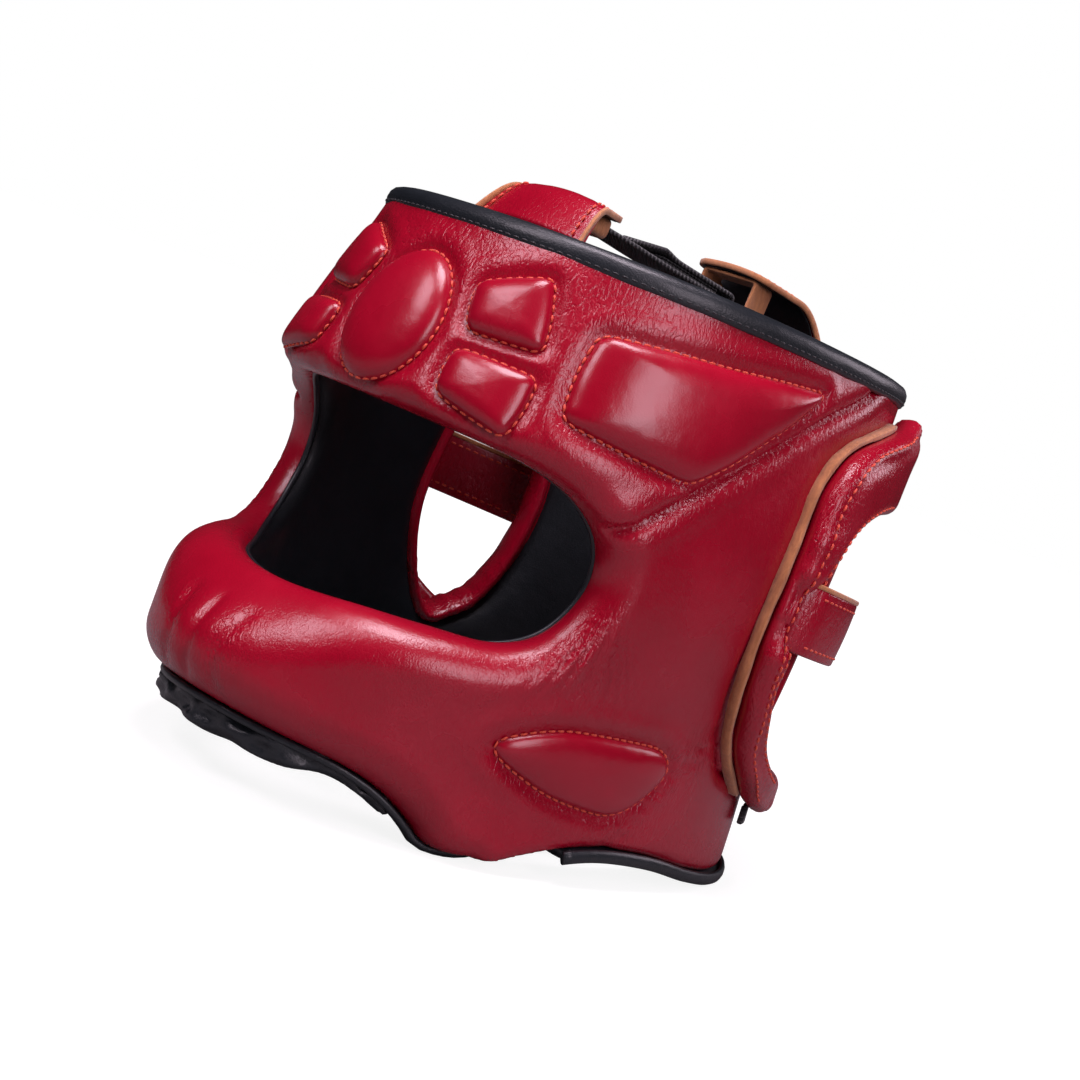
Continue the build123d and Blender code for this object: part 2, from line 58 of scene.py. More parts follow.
# Lines in side view, as y and z: face opening, lower edge, seam under the forehead panel, the wing's
# front edge, rounded ends and notch, and the opening behind the ear.
FACE_OPENING = [
    (-200, -84), (-135, -85), (-107, -86), (-89, -91), (-76, -101), (-71, -114), (-73, -128),
    (-80, -141), (-93, -149), (-112, -152), (-130, -155), (-143, -160), (-153, -167), (-166, -173),
    (-200, -175),
]
BASE_EDGE = [
    (-200, -204), (-163, -205.5), (-140, -208), (-118, -210), (-103, -214.5), (-91, -221.5),
    (-85, -226), (-71, -225), (-56, -218), (-38, -211), (-18, -207), (10, -206), (40, -208),
    (74, -208), (140, -201),
]
SHELL_SEAM = [(-84, -101), (-76, -92), (-54, -70), (-28, -48), (0, -25), (25, -9), (44, 8), (56, 26)]
WING_EDGE = [
    (78, -4), (66, -10), (25, -28), (10, -46), (7, -66), (6, -84), (6, -102), (8, -118), (15, -138),
    (28, -157), (54, -173), (74, -178),
]
WING_BACK = 92
WING_ENDS = [
    (74, -178), (84, -179), (91, -174), (92, -166), (86, -161), (84, -46), (91, -40), (95, -28),
    (92, -15), (84, -7), (78, -4),
]
WING_NOTCH = [
    (110, -45), (66, -47), (42, -55), (29, -68), (23, -86), (21, -105), (24, -126), (34, -142),
    (50, -153), (70, -159), (110, -162),
]
SIDE_OPENING = [
    (38, -54), (24, -60), (16, -76), (14, -95), (14, -115), (17, -130), (23, -144), (30, -154),
    (38, -160), (46, -155), (54, -147), (60, -131), (63, -113), (63, -92), (59, -72), (51, -60),
]
BACK_HALF_WIDTH = 42
BACK_PANEL_DEPTH = 40
# Corners of the left pads, as degrees from the front and height.
PADS = {
    "upper": [(11.2, -32), (23.4, -20.5), (27.3, -48), (13.6, -50.5)],
    "lower": [(13.7, -57), (28.6, -56.5), (27.7, -81.5), (14.2, -75)],
    "temple": [(33.6, -33), (60, -24), (88, -15.5), (73, -45), (59, -70), (33.7, -67)],
    "jaw": [(42, -183), (55, -168), (84, -163), (90, -173), (79, -195), (58, -194)],
}
PAD_ROUNDING = {"upper": 5.0, "lower": 5.0, "temple": 6.0, "jaw": 14.0}
OVAL_PAD = (21.0, 27.0)         # half width and half height
OVAL_HEIGHT = -54
RIM_HEIGHT = 2.5                # where y is 0
RIM_RISE = math.tan(math.radians(3.55))
STAND_TILT = math.radians(5.86)         # how far it tips back to stand on its lower edge
STAND_SHIFT = 10.3
FLOOR_AT_CENTRE = -228.5 + 78 * math.tan(STAND_TILT)
WALL = 21.0                     # leather, foam and lining together
BAR_WALL = 31.0
WING_MIDDLE = -6.9              # depth of its middle in the shell: it lies outside
WING_WALL = 13.6
WING_FACE = WING_WALL / 2 - WING_MIDDLE
ROLL_RADIUS = 4.2
STRAP_HEIGHTS = (-111, -84)
STRAP_LIFT = 2.0                # of the strap's middle from what it lies on
STRAP_OVER_WING = 11.2          # how much further out it runs over the wings
STRAP_DOWN = (40, 74)           # degrees from the back over which it comes down off the wings
VOXEL = 1.6


# ---- placing ------------------------------------------------------------------------------------

def stand(points):
    """Head-frame millimetres to row-frame metres."""
    p = np.asarray(points, float)
    y, z = p[..., 1], p[..., 2] - FLOOR_AT_CENTRE
    c, s = math.cos(STAND_TILT), math.sin(STAND_TILT)
    return np.stack([p[..., 0], y * c + z * s + STAND_SHIFT, z * c - y * s], -1) / 1000


def turned(direction):
    """A head-frame direction in the row frame."""
    return (stand(direction) - stand((0.0, 0.0, 0.0))) * 1000


# ---- the shell's face ---------------------------------------------------------------------------

def profile(height):
    """Half width, front, back and squarenesses at any height, on a smooth curve through the stations."""
    rows = STATIONS[::-1]
    heights = rows[:, 0]
    z = np.clip(height, heights[0], heights[-1])
    i = np.clip(np.searchsorted(heights, z) - 1, 0, len(heights) - 2)
    step = heights[i + 1] - heights[i]
    u = (z - heights[i]) / step
    out = []
    for column in range(1, 6):
        value = rows[:, column]
        slope = np.gradient(value, heights)
        out.append(
            (1 + 2 * u) * (1 - u) ** 2 * value[i] + u * (1 - u) ** 2 * step * slope[i]
            + u * u * (3 - 2 * u) * value[i + 1] + u * u * (u - 1) * step * slope[i + 1]
        )
    return out


def face(angle, height, inset=0.0):
    """Points on the shell's face by angle from the front (degrees, towards the wearer's left)."""
    angle, height, inset = np.broadcast_arrays(
        np.asarray(angle, float), np.asarray(height, float), np.asarray(inset, float)
    )
    half, front, back, square, back_square = profile(height)
    s, c = np.sin(np.radians(angle)), np.cos(np.radians(angle))
    reach = np.where(c > 0, front, back) - inset
    power = np.where(c > 0, square, back_square)
    radius = ((np.abs(s) / (half - inset)) ** power + (np.abs(c) / reach) ** power) ** (-1 / power)
    return np.stack([radius * s, -radius * c, height], -1)


def face_normal(angle, height):
    """Outward normals of the shell's face."""
    along = face(np.asarray(angle) + 0.5, height) - face(np.asarray(angle) - 0.5, height)
    up = face(angle, np.asarray(height) + 0.5) - face(angle, np.asarray(height) - 0.5)
    n = np.cross(along, up)
    return n / np.linalg.norm(n, axis=-1, keepdims=True)


def depth_in(x, y, z):
    """How far points lie inside the shell's face (negative outside)."""
    half, front, back, square, back_square = profile(z)
    reach = np.where(y < 0, front, back)
    power = np.where(y < 0, square, back_square)
    t = np.zeros(np.broadcast(x, y, z).shape)
    for _ in range(4):
        a, b = np.abs(x) / (half - t), np.abs(y) / (reach - t)
        an, bn = a ** power, b ** power
        g = an + bn + 1e-9
        size = g ** (1 / power)
        slope = size / g * (an / (half - t) + bn / (reach - t))
        t = np.clip(t - (size - 1) / (slope + 1e-6), -40, 60)
    return t


def smooth_line(points, step=3.0):
    """A Catmull-Rom curve through points, as a polyline."""
    p = np.asarray(points, float)
    q = np.vstack([2 * p[0] - p[1], p, 2 * p[-1] - p[-2]])
    out = []
    for i in range(1, len(q) - 2):
        count = max(2, int(np.linalg.norm(q[i + 1] - q[i]) / step))
        u = (np.arange(count) / count)[:, None]
        out.append(0.5 * (
            2 * q[i] + (q[i + 1] - q[i - 1]) * u
            + (2 * q[i - 1] - 5 * q[i] + 4 * q[i + 1] - q[i + 2]) * u ** 2
            + (3 * q[i] - q[i - 1] - 3 * q[i + 1] + q[i + 2]) * u ** 3
        ))
    return np.vstack(out + [p[-1:]])


def smooth_loop(points, step=3.0):
    """A closed Catmull-Rom curve, without its last point repeated."""
    p = np.asarray(points, float)
    long = smooth_line(np.vstack([p[-2:], p, p[:3]]), step)
    half = len(long) // 2
    start = np.argmin(np.linalg.norm(long[:half] - p[0], axis=1))
    stop = half + np.argmin(np.linalg.norm(long[half:] - p[0], axis=1))
    return long[start:stop]


def line_distance(px, py, line):
    """Distance from points to a polyline."""
    best = np.full(np.broadcast(px, py).shape, 1e9)
    for (ax, ay), (bx, by) in zip(line[:-1], line[1:]):
        dx, dy = bx - ax, by - ay
        u = np.clip(((px - ax) * dx + (py - ay) * dy) / (dx * dx + dy * dy + 1e-12), 0, 1)
        best = np.minimum(best, (px - ax - u * dx) ** 2 + (py - ay - u * dy) ** 2)
    return np.sqrt(best)


def outside_of(px, py, polygon):
    """Signed distance to a closed polygon, positive outside it."""
    inside = np.zeros(np.broadcast(px, py).shape, bool)
    ring = np.vstack([polygon, polygon[:1]])
    for (ax, ay), (bx, by) in zip(ring[:-1], ring[1:]):
        if ay == by:
            continue
        crosses = (ay > py) != (by > py)
        inside ^= crosses & (px < (bx - ax) * (py - ay) / (by - ay) + ax)
    return np.where(inside, -1, 1) * line_distance(px, py, ring)


def step_up(value, low, high):
    """0 below low, 1 above high, smooth between."""
    u = np.clip((value - low) / (high - low), 0, 1)
    return u * u * (3 - 2 * u)


def bell(value, width):
    """1 at 0, falling smoothly to nothing over a few widths."""
    return np.exp(-(value / width) ** 2)


opening_side = smooth_line(FACE_OPENING)
base_side = smooth_line(BASE_EDGE)
seam_side = smooth_line(SHELL_SEAM)
wing_side = smooth_line(WING_EDGE)
notch_side = smooth_line(WING_NOTCH)
window_ring = smooth_loop(SIDE_OPENING)


def rim_level(y):
    """Height of the rim."""
    return RIM_HEIGHT + RIM_RISE * y


def base_level(y):
    """Height of the lower edge."""
    return np.interp(y, base_side[:, 0], base_side[:, 1])


def bar_share(y, z):
    """1 in the bar across the mouth, 0 elsewhere."""
    return step_up(-y, 66, 112) * step_up(-z, 128, 158)


# ---- padded volumes -----------------------------------------------------------------------------

# Points of the left half of the space round the shell, and their distances from its edges.
xs = np.arange(0, 132, VOXEL)
ys = np.arange(-178, 146, VOXEL)
zs = np.arange(-236, 22, VOXEL)
X, Y, Z = xs[:, None, None], ys[None, :, None], zs[None, None, :]
depth = depth_in(X, Y, Z).astype(np.float32)
side_y, side_z = np.meshgrid(ys, zs, indexing="ij")
opening_gap = outside_of(side_y, side_z, opening_side)[None]
base_gap = (side_z - base_level(side_y))[None]
rim_gap = (rim_level(side_y) - 2.0 - side_z)[None]
window_gap = outside_of(side_y, side_z, window_ring)[None]


def rounded_cut(solid, gap, soft):
    """Cuts a volume where gap is negative, rounding the new edge."""
    a, b = solid, -gap
    h = np.clip(0.5 + 0.5 * (a - b) / soft, 0, 1)
    return b + (a - b) * h + soft * h * (1 - h)


def rolled(middle, wall, gap):
    """A padded ply whose edges are rolled over: depth of its middle, thickness and room to its edge."""
    radius = wall / 2
    return np.sqrt((depth - middle) ** 2 + np.maximum(radius - gap, 0) ** 2) - radius


def surface(volume):
    """The zero surface of a volume given on its left half: points and triangles in the head frame."""
    whole = np.concatenate([volume[:0:-1], volume], 0).astype(np.float32)
    grid = vdb.FloatGrid(30.0)
    grid.copyFromArray(np.ascontiguousarray(np.clip(whole, -12, 12)))
    points, quads = grid.convertToQuads()
    points = points * VOXEL + np.array([-xs[-1], ys[0], zs[0]])
    quads = quads[:, ::-1]
    triangles = np.vstack([quads[:, [0, 1, 2]], quads[:, [0, 2, 3]]])
    return points.astype(float), triangles


SNAP = 0.12                     # share of an edge within which a cut goes to the edge's end


def clip(points, triangles, value):
    """The part of a triangle mesh where value is above 0, cut cleanly along it, and the cut's segments."""
    v = value[triangles]
    keep = triangles[(v > 0).all(1)]
    mixed = triangles[(v > 0).any(1) & ~(v > 0).all(1)]
    points, value = list(points), list(value)
    made, faces, cuts = {}, [], []

    def between(a, b):
        """The point of an edge on the cut, or the end next to it, so that no sliver is left."""
        share = value[a] / (value[a] - value[b])
        if share < SNAP:
            return a
        if share > 1 - SNAP:
            return b
        key = (min(a, b), max(a, b))
        if key not in made:
            made[key] = len(points)
            points.append(points[a] + share * (points[b] - points[a]))
            value.append(0.0)
        return made[key]

    for tri in mixed.tolist():
        for _ in range(3):
            a, b, c = tri
            ups = (value[a] > 0, value[b] > 0, value[c] > 0)
            if ups in ((True, False, False), (True, True, False)):
                break
            tri = [b, c, a]
        if ups == (True, False, False):
            p, q = between(a, b), between(a, c)
            faces.append((a, p, q))
        else:
            p, q = between(b, c), between(a, c)
            faces.append((a, b, p))
            faces.append((a, p, q))
        if p != q:
            cuts.append((p, q))
    faces = [face for face in faces if len(set(face)) == 3]
    points = np.array(points)
    faces = np.vstack([keep, np.array(faces, int).reshape(-1, 3)])
    used, index = np.unique(faces, return_inverse=True)
    return points[used], index.reshape(-1, 3), points[np.array(cuts, int).reshape(-1, 2)]


def loops_of(segments):
    """Joins cut segments into ordered loops of points."""
    keys = np.round(segments / 0.001).astype(int)
    neighbours, places = {}, {}
    for (a, b), (place_a, place_b) in zip(keys.tolist(), segments):
        a, b = tuple(a), tuple(b)
        places[a], places[b] = place_a, place_b
        neighbours.setdefault(a, []).append(b)
        neighbours.setdefault(b, []).append(a)
    loops = []
    while neighbours:
        here = next(iter(neighbours))
        loop = [here]
        while neighbours.get(here):
            there = neighbours[here].pop()
            if here in neighbours.get(there, []):
                neighbours[there].remove(here)
            loop.append(there)
            here = there
        neighbours = {key: others for key, others in neighbours.items() if others}
        loops.append(np.array([places[key] for key in loop]))
    return loops


# ---- objects ------------------------------------------------------------------------------------

materials = {}
SIDES = (("left", 1), ("right", -1))


def make(name, points, faces, material, body="headgear"):
    """A mesh object from head-frame points, riding on a body, with smooth shading."""
    if isinstance(faces, np.ndarray):
        faces = faces.tolist()
    mesh = bpy.data.meshes.new(name)
    mesh.from_pydata(stand(points).tolist(), [], faces)
    mesh.validate()
    mesh.shade_smooth()
    mesh.materials.append(materials[material])
    piece = bpy.data.objects.new(name, mesh)
    bpy.context.scene.collection.objects.link(piece)
    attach(piece, body)
    return piece


def attribute(piece, name, values):
    """A number per vertex that the material reads."""
    layer = piece.data.attributes.new(name, "FLOAT", "POINT")
    layer.data.foreach_set("value", np.asarray(values, np.float32))


def frames(path, normals):
    """Tangents, side directions and square normals along a path with given normals."""
    tangent = np.gradient(path, axis=0)
    tangent /= np.linalg.norm(tangent, axis=1, keepdims=True) + 1e-9
    side = np.cross(tangent, normals)
    side /= np.linalg.norm(side, axis=1, keepdims=True) + 1e-9
    return tangent, side, np.cross(side, tangent)


def tube_faces(rows, count, closed):
    """Quads between rows of points, each row a closed ring."""
    faces = []
    for i in range(rows if closed else rows - 1):
        here, there = i * count, (i + 1) % rows * count
        for k in range(count):
            m = (k + 1) % count
            faces.append((here + k, there + k, there + m, here + m))
    return faces


def sweep(path, normals, section, closed=False):
    """Points, faces and UVs of a section (side, normal) carried along a path."""
    _, side, normal = frames(path, normals)
    if closed:
        round_path = np.vstack([path[-1:], path, path[:1]])
        round_normals = np.vstack([normals[-1:], normals, normals[:1]])
        _, side, normal = (a[1:-1] for a in frames(round_path, round_normals))
    section = np.asarray(section, float)
    if section.ndim == 2:
        section = np.repeat(section[None], len(path), 0)
    rows, count = len(path), section.shape[1]
    points = path[:, None] + side[:, None] * section[..., :1] + normal[:, None] * section[..., 1:]
    faces = tube_faces(rows, count, closed)
    if not closed:
        faces.append(tuple(range(count)))
        faces.append(tuple(reversed(range((rows - 1) * count, rows * count))))
    run = np.concatenate([[0], np.cumsum(np.linalg.norm(np.diff(path, axis=0), axis=1))])
    across = np.broadcast_to(section[..., 0], (rows, count))
    uv = np.stack([np.repeat(run[:, None], count, 1), across], -1).reshape(-1, 2)
    return points.reshape(-1, 3), faces, uv


def plate(width, thickness, corner=0.6, crown=0.0):
    """A flat strap's section, wide along its side direction, with rounded edges."""
    w, t = width / 2, thickness / 2
    r = min(corner, t * 0.98)
    top = [(x, t + crown * (1 - (x / w) ** 2)) for x in np.linspace(w - r, r - w, 7)]
    low = [(x, -t) for x in np.linspace(r - w, w - r, 7)]
    left = [(-w + r - r * math.sin(a), t - r + r * math.cos(a)) for a in (0.5, 1.1)]
    left += [(-w, 0)] + [(x, -y) for x, y in left[::-1]]
    right = [(-x, y) for x, y in left[::-1]]
    return np.array(top + left + low + right)


def ring_section(radius):
    """A round section with ten sides."""
    a = np.arange(10) * 2 * math.pi / 10
    return np.stack([np.cos(a), np.sin(a)], 1) * radius


def strip(name, path, normals, section, material, node=None, body="headgear", closed=False):
    """A swept piece, in place of a node of the solids, with UVs in metres along and across it."""
    points, faces, uv = sweep(np.asarray(path, float), np.asarray(normals, float), section, closed)
    piece = make(name, points, faces, material, body)
    if node:
        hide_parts(node)
    layer = piece.data.uv_layers.new(name="along")
    index = np.zeros(len(piece.data.loops), int)
    piece.data.loops.foreach_get("vertex_index", index)
    layer.data.foreach_set("uv", (uv[index] / 1000).astype(np.float32).ravel())
    return piece


def resample(path, pitch):
    """Points at an even pitch along a polyline."""
    run = np.concatenate([[0], np.cumsum(np.linalg.norm(np.diff(path, axis=0), axis=1))])
    at = np.arange(0.0, run[-1], pitch)
    return np.stack([np.interp(at, run, path[:, i]) for i in range(path.shape[1])], 1)


# A stitch's rings: place along its length, girth and height, as shares of its length and radius.
STITCH_RINGS = (
    (-0.5, 0.25, -0.5), (-0.34, 0.85, -0.05), (0.0, 1.0, 0.1), (0.34, 0.85, -0.05), (0.5, 0.25, -0.5),
)
STITCH_SIDES = 6
STITCH_SINK = 0.10


def stitches(name, runs, body="headgear", material="thread", pitch=3.8, length=2.8, radius=0.52):
    """Thread stitches along runs of (path, normals), one mesh for a piece's stitching."""
    points, faces = [], []
    around = np.arange(STITCH_SIDES) * 2 * math.pi / STITCH_SIDES
    for path, normals in runs:
        both = resample(np.hstack([path, normals]), pitch)
        if len(both) < 3:
            continue
        spots, up = both[:, :3], both[:, 3:]
        tangent, side, normal = frames(spots, up)
        for p, t, s, n in zip(spots, tangent, side, normal):
            base = len(points)
            for along, fat, lift in STITCH_RINGS:
                for a in around:
                    points.append(
                        p + t * along * length + s * math.cos(a) * fat * radius
                        + n * (math.sin(a) * fat * radius + lift * radius - STITCH_SINK)
                    )
            ends = len(STITCH_RINGS) - 1
            for i in range(ends):
                low = base + i * STITCH_SIDES
                high = low + STITCH_SIDES
                for k in range(STITCH_SIDES):
                    m = (k + 1) % STITCH_SIDES
                    faces.append((low + k, low + m, high + m, high + k))
            faces.append(tuple(base + k for k in range(STITCH_SIDES)))
            last = base + ends * STITCH_SIDES
            faces.append(tuple(last + k for k in reversed(range(STITCH_SIDES))))
    return make(name, np.array(points), faces, material, body)


# ---- materials ----------------------------------------------------------------------------------

class Graph:
    """A material's node tree with short calls."""

    def __init__(self, name):
        self.material = bpy.data.materials.new(name)
        self.material.use_nodes = True
        self.tree = self.material.node_tree
        self.shader = self.tree.nodes["Principled BSDF"]
        materials[name] = self.material

    def node(self, kind, inputs=(), **settings):
        made = self.tree.nodes.new(kind)
        for key, value in settings.items():
            setattr(made, key, value)
        for key, value in dict(inputs).items():
            if isinstance(value, bpy.types.NodeSocket):
                self.tree.links.new(value, made.inputs[key])
            else:
                made.inputs[key].default_value = value
        return made

    def coordinates(self, scale):
        source = self.node("ShaderNodeTexCoord").outputs["Object"]
        return self.node("ShaderNodeMapping", {"Vector": source, "Scale": scale}).outputs[0]

    def noise(self, scale, detail=3.0, stretch=(1, 1, 1), roughness=0.55):
        return self.node("ShaderNodeTexNoise", {
            "Vector": self.coordinates(stretch), "Scale": scale, "Detail": detail, "Roughness": roughness,
        }).outputs["Fac"]

    def maths(self, operation, a, b=0.0):
        made = self.node("ShaderNodeMath", operation=operation)
        for socket, value in zip(made.inputs, (a, b)):
            if isinstance(value, bpy.types.NodeSocket):
                self.tree.links.new(value, socket)
            else:
                socket.default_value = value
        return made.outputs[0]

    def ramp(self, value, low, high, to_low=0.0, to_high=1.0):
        return self.node("ShaderNodeMapRange", {
            "Value": value, "From Min": low, "From Max": high, "To Min": to_low, "To Max": to_high,
        }).outputs[0]

    def mix(self, share, a, b):
        made = self.node("ShaderNodeMix", data_type="RGBA")
        for socket, value in ((made.inputs[0], share), (made.inputs[6], a), (made.inputs[7], b)):
            if isinstance(value, bpy.types.NodeSocket):
                self.tree.links.new(value, socket)
            else:
                socket.default_value = value
        return made.outputs[2]

    def bump(self, height, distance, strength=1.0, below=None):
        inputs = {"Height": height, "Distance": distance, "Strength": strength}
        if below is not None:
            inputs["Normal"] = below
        return self.node("ShaderNodeBump", inputs).outputs[0]

    def set(self, **values):
        names = {
            "color": "Base Color", "rough": "Roughness", "normal": "Normal", "coat": "Coat Weight",
            "coat_rough": "Coat Roughness", "sheen": "Sheen Weight", "sheen_rough": "Sheen Roughness",
            "specular": "Specular IOR Level",
        }
        for key, value in values.items():
            socket = self.shader.inputs[names[key]]
            if isinstance(value, bpy.types.NodeSocket):
                self.tree.links.new(value, socket)
            else:
                socket.default_value = value


def leather(name, deep, bright, rough, grain, coat, creases=False):
    """Finished leather: fine pebble grain, pores, soft colour shifts, and creases where it is bent."""
    g = Graph(name)
    cloud = g.noise(22.0, 4.0)
    fine = g.noise(260.0, 3.0)
    color = g.mix(g.ramp(cloud, 0.3, 0.72), deep, bright)
    pebble = g.node("ShaderNodeTexVoronoi", {
        "Vector": g.coordinates((1, 1, 1)), "Scale": 900.0, "Randomness": 1.0,
    }, feature="DISTANCE_TO_EDGE").outputs["Distance"]
    pebble = g.ramp(pebble, 0.0, 0.22)
    normal = g.bump(pebble, 0.00012, grain)
    normal = g.bump(fine, 0.00035, grain, normal)
    normal = g.bump(g.noise(70.0, 2.0), 0.0011, 0.30, normal)
    if creases:
        worn = g.node("ShaderNodeAttribute", attribute_name="creased").outputs["Fac"]
        folds = g.noise(380.0, 2.0, (1.0, 1.0, 0.45), 0.5)
        folds = g.maths("ABSOLUTE", g.maths("SUBTRACT", folds, 0.5))
        folds = g.ramp(folds, 0.0, 0.09)
        depth_of = g.maths("MULTIPLY", g.maths("SUBTRACT", folds, 1.0), worn)
        normal = g.bump(depth_of, 0.0005, 0.40, normal)
    g.set(
        color=color, rough=g.ramp(cloud, 0.2, 0.8, rough - 0.05, rough + 0.06), normal=normal,
        coat=coat, coat_rough=0.16, specular=0.5,
    )


WEAVE = (0.0026, 0.0019)        # metres from one thread to the next, along and across


def webbing(name, color):
    """Woven tape: a diagonal weave along the strap, from its own length and width."""
    g = Graph(name)
    uv = g.node("ShaderNodeTexCoord").outputs["UV"]
    parts = g.node("ShaderNodeSeparateXYZ", {"Vector": uv})
    along = g.maths("MULTIPLY", parts.outputs[0], 2 * math.pi / WEAVE[0])
    across = g.maths("MULTIPLY", parts.outputs[1], 2 * math.pi / WEAVE[1])
    waves = g.maths("MULTIPLY", g.maths("SINE", along), g.maths("SINE", across))
    twill = g.maths("SINE", g.maths("ADD", along, across))
    height = g.maths("ADD", g.maths("MULTIPLY", waves, 0.5), g.maths("MULTIPLY", twill, 0.5))
    fuzz = g.noise(1800.0, 2.0)
    normal = g.bump(height, 0.0005, 1.0)
    normal = g.bump(fuzz, 0.0002, 0.6, normal)
    # The colour follows the weave's height: the raised threads get a lighter colour as a painted highlight,
    # and the hollows keep the darker base colour as painted shade.
    light = tuple(c * 2.6 + 0.01 for c in color[:3]) + (1,)
    g.set(color=g.mix(g.ramp(height, -0.6, 0.9), color, light), rough=0.78, normal=normal,
          sheen=0.25, sheen_rough=0.5)


def suede(name, deep, bright):
    """The raw, cut edge and flesh side of hide: fibrous and matt."""
    g = Graph(name)
    fibre = g.noise(420.0, 5.0, (1, 1, 0.4), 0.7)
    patch = g.noise(60.0, 3.0)
    blotch = g.maths("ADD", fibre, g.maths("MULTIPLY", patch, 0.6))
    g.set(color=g.mix(g.ramp(blotch, 0.5, 1.1), deep, bright), rough=0.85,
          normal=g.bump(fibre, 0.0006, 0.8), sheen=0.3, sheen_rough=0.6)


def thread(name, deep, bright):
    """Twisted waxed thread."""
    g = Graph(name)
    twist = g.node("ShaderNodeTexWave", {
        "Vector": g.coordinates((1, 1, 1)), "Scale": 700.0, "Distortion": 2.0,
    }, bands_direction="DIAGONAL").outputs["Fac"]
    # The colour follows the twist's ridges: painted highlights on the ridges and painted shade in the
    # grooves between them.
    g.set(color=g.mix(twist, deep, bright), rough=0.55, normal=g.bump(twist, 0.0001, 0.6),
          sheen=0.1)


RED_DEEP, RED_BRIGHT = (0.290, 0.0004, 0.0130, 1), (0.370, 0.0012, 0.0190, 1)
leather("red_leather", RED_DEEP, RED_BRIGHT, 0.26, 0.20, 0.10, creases=True)
leather("pad_leather", RED_DEEP, RED_BRIGHT, 0.25, 0.12, 0.12)
leather("black_leather", (0.0045, 0.0068, 0.0095, 1), (0.0095, 0.0135, 0.0175, 1), 0.40, 0.35, 0.12)
leather("lining_leather", (0.0028, 0.0042, 0.0060, 1), (0.0064, 0.0092, 0.0125, 1), 0.44, 0.22, 0.08)
webbing("black_webbing", (0.006, 0.006, 0.0072, 1))
webbing("closure_tape", (0.009, 0.009, 0.010, 1))
suede("raw_edge", (0.28, 0.085, 0.022, 1), (0.62, 0.25, 0.085, 1))
thread("thread", (0.50, 0.020, 0.012, 1), (0.85, 0.110, 0.045, 1))
thread("black_thread", (0.004, 0.004, 0.005, 1), (0.03, 0.03, 0.034, 1))


# ---- padded leather shell and its lining --------------------------------------------------------

# The red leather wraps the rolled edges and ends this far from the wall's inner face, at the face
# and further back.
RED_END = (4.5, 5.0)
FOLD_CENTRE = (-66, -118)       # y and z of the point that the folds at the bar's corner fan out from
JAW_FOLD = np.array([(24, -146), (-2, -176), (-17, -206)], float)         # y and z
FRONT_FOLD = np.array([(16, -172), (13, -190), (15, -206)], float)        # x and z

wall = WALL + (BAR_WALL - WALL) * bar_share(side_y, side_z)[None]
flat_edge = step_up(side_y, -75, -45)[None]
gap = np.minimum(np.minimum(opening_gap, window_gap - 3.0), base_gap + 40 * flat_edge)
shell_volume = rolled(wall / 2, wall, gap)
shell_volume = rounded_cut(shell_volume, rim_gap, 5.0)
shell_volume = rounded_cut(shell_volume, np.where(flat_edge > 0, base_gap, base_gap + 2.0), 5.0)
points, triangles = surface(shell_volume)


def pad_frame(corners, rounding):
    """Centre of a pad's corners and its outline, as (angle, height) with rounded corners."""
    c = np.array(corners, float)
    ring = []
    for before, here, after in zip(np.roll(c, 1, 0), c, np.roll(c, -1, 0)):
        for other in (before, after):
            share = min(0.46, rounding / np.linalg.norm((other - here) * (1.9, 1)))
            ring.append(here + (other - here) * share)
    ring = np.array(ring).reshape(-1, 2, 2)
    line = []
    for i, (enter, leave) in enumerate(ring):
        for u in np.linspace(0, 1, 7):
            line.append((1 - u) ** 2 * enter + 2 * u * (1 - u) * c[i] + u * u * leave)
        following = ring[(i + 1) % len(ring)][0]
        count = max(3, int(np.linalg.norm((following - leave) * (1.9, 1)) / 2.0))
        bow = 0.035 * np.array([following[1] - leave[1], -(following[0] - leave[0])])
        for u in np.linspace(0, 1, count + 1)[1:-1]:
            line.append(leave + (following - leave) * u - bow * 4 * u * (1 - u) * 0.5)
    return c.mean(0), np.array(line)


outlines = {}
for pad, corners in PADS.items():
    centre, line = pad_frame(corners, PAD_ROUNDING[pad])
    outlines[f"left_{pad}_pad"] = (centre, line)
    outlines[f"right_{pad}_pad"] = (centre * (-1, 1), line[::-1] * (-1, 1))
turn = np.radians(np.arange(0, 360, 5))
oval = np.stack([np.degrees(OVAL_PAD[0] / 130) * np.sin(turn), OVAL_HEIGHT + OVAL_PAD[1] * np.cos(turn)], 1)
outlines["centre_pad"] = (np.array([0.0, OVAL_HEIGHT]), oval)


def groove(distance, width, depth, swell, swell_at, swell_width):
    """A seam's dent by the distance from it, with the swell of the padding beside it."""
    return depth * bell(distance, width) - swell * bell(distance - swell_at, swell_width)


def vertex_normals(points, triangles):
    """Unit normals at the points of a triangle mesh."""
    a, b, c = (points[triangles[:, i]] for i in range(3))
    normals = np.zeros_like(points)
    for i in range(3):
        np.add.at(normals, triangles[:, i], np.cross(b - a, c - a))
    return normals / (np.linalg.norm(normals, axis=1, keepdims=True) + 1e-12)


# Dents under the seams and round the pads.
px, py, pz = points.T
inside = depth_in(px, py, pz)
outer = step_up(-inside, -9, -3)
seam_gap = line_distance(py, pz, seam_side)
crease = groove(seam_gap, 1.9, 2.4, 0.9, 7, 5)
crease += step_up(-py, 80, 110) * step_up(-pz, 130, 150) * groove(np.abs(px), 1.7, 1.3, 0.4, 7, 4)
back_seam = np.abs(np.abs(px) - BACK_HALF_WIDTH)
crease += step_up(py, 40, 60) * groove(back_seam, 1.8, 1.6, 0.6, 6, 4)
pad_near = np.full(len(points), 99.0)
angle_of = np.degrees(np.arctan2(px, -py))
for centre, line in outlines.values():
    radius = np.hypot(*face(centre[0], centre[1])[:2])
    mm = np.array([radius * math.pi / 180, 1.0])
    near = (np.abs(angle_of - centre[0]) < 40) & (np.abs(pz - centre[1]) < 45)
    ring = np.vstack([line, line[:1]]) * mm
    pad_near[near] = np.minimum(pad_near[near], line_distance(angle_of[near] * mm[0], pz[near], ring))
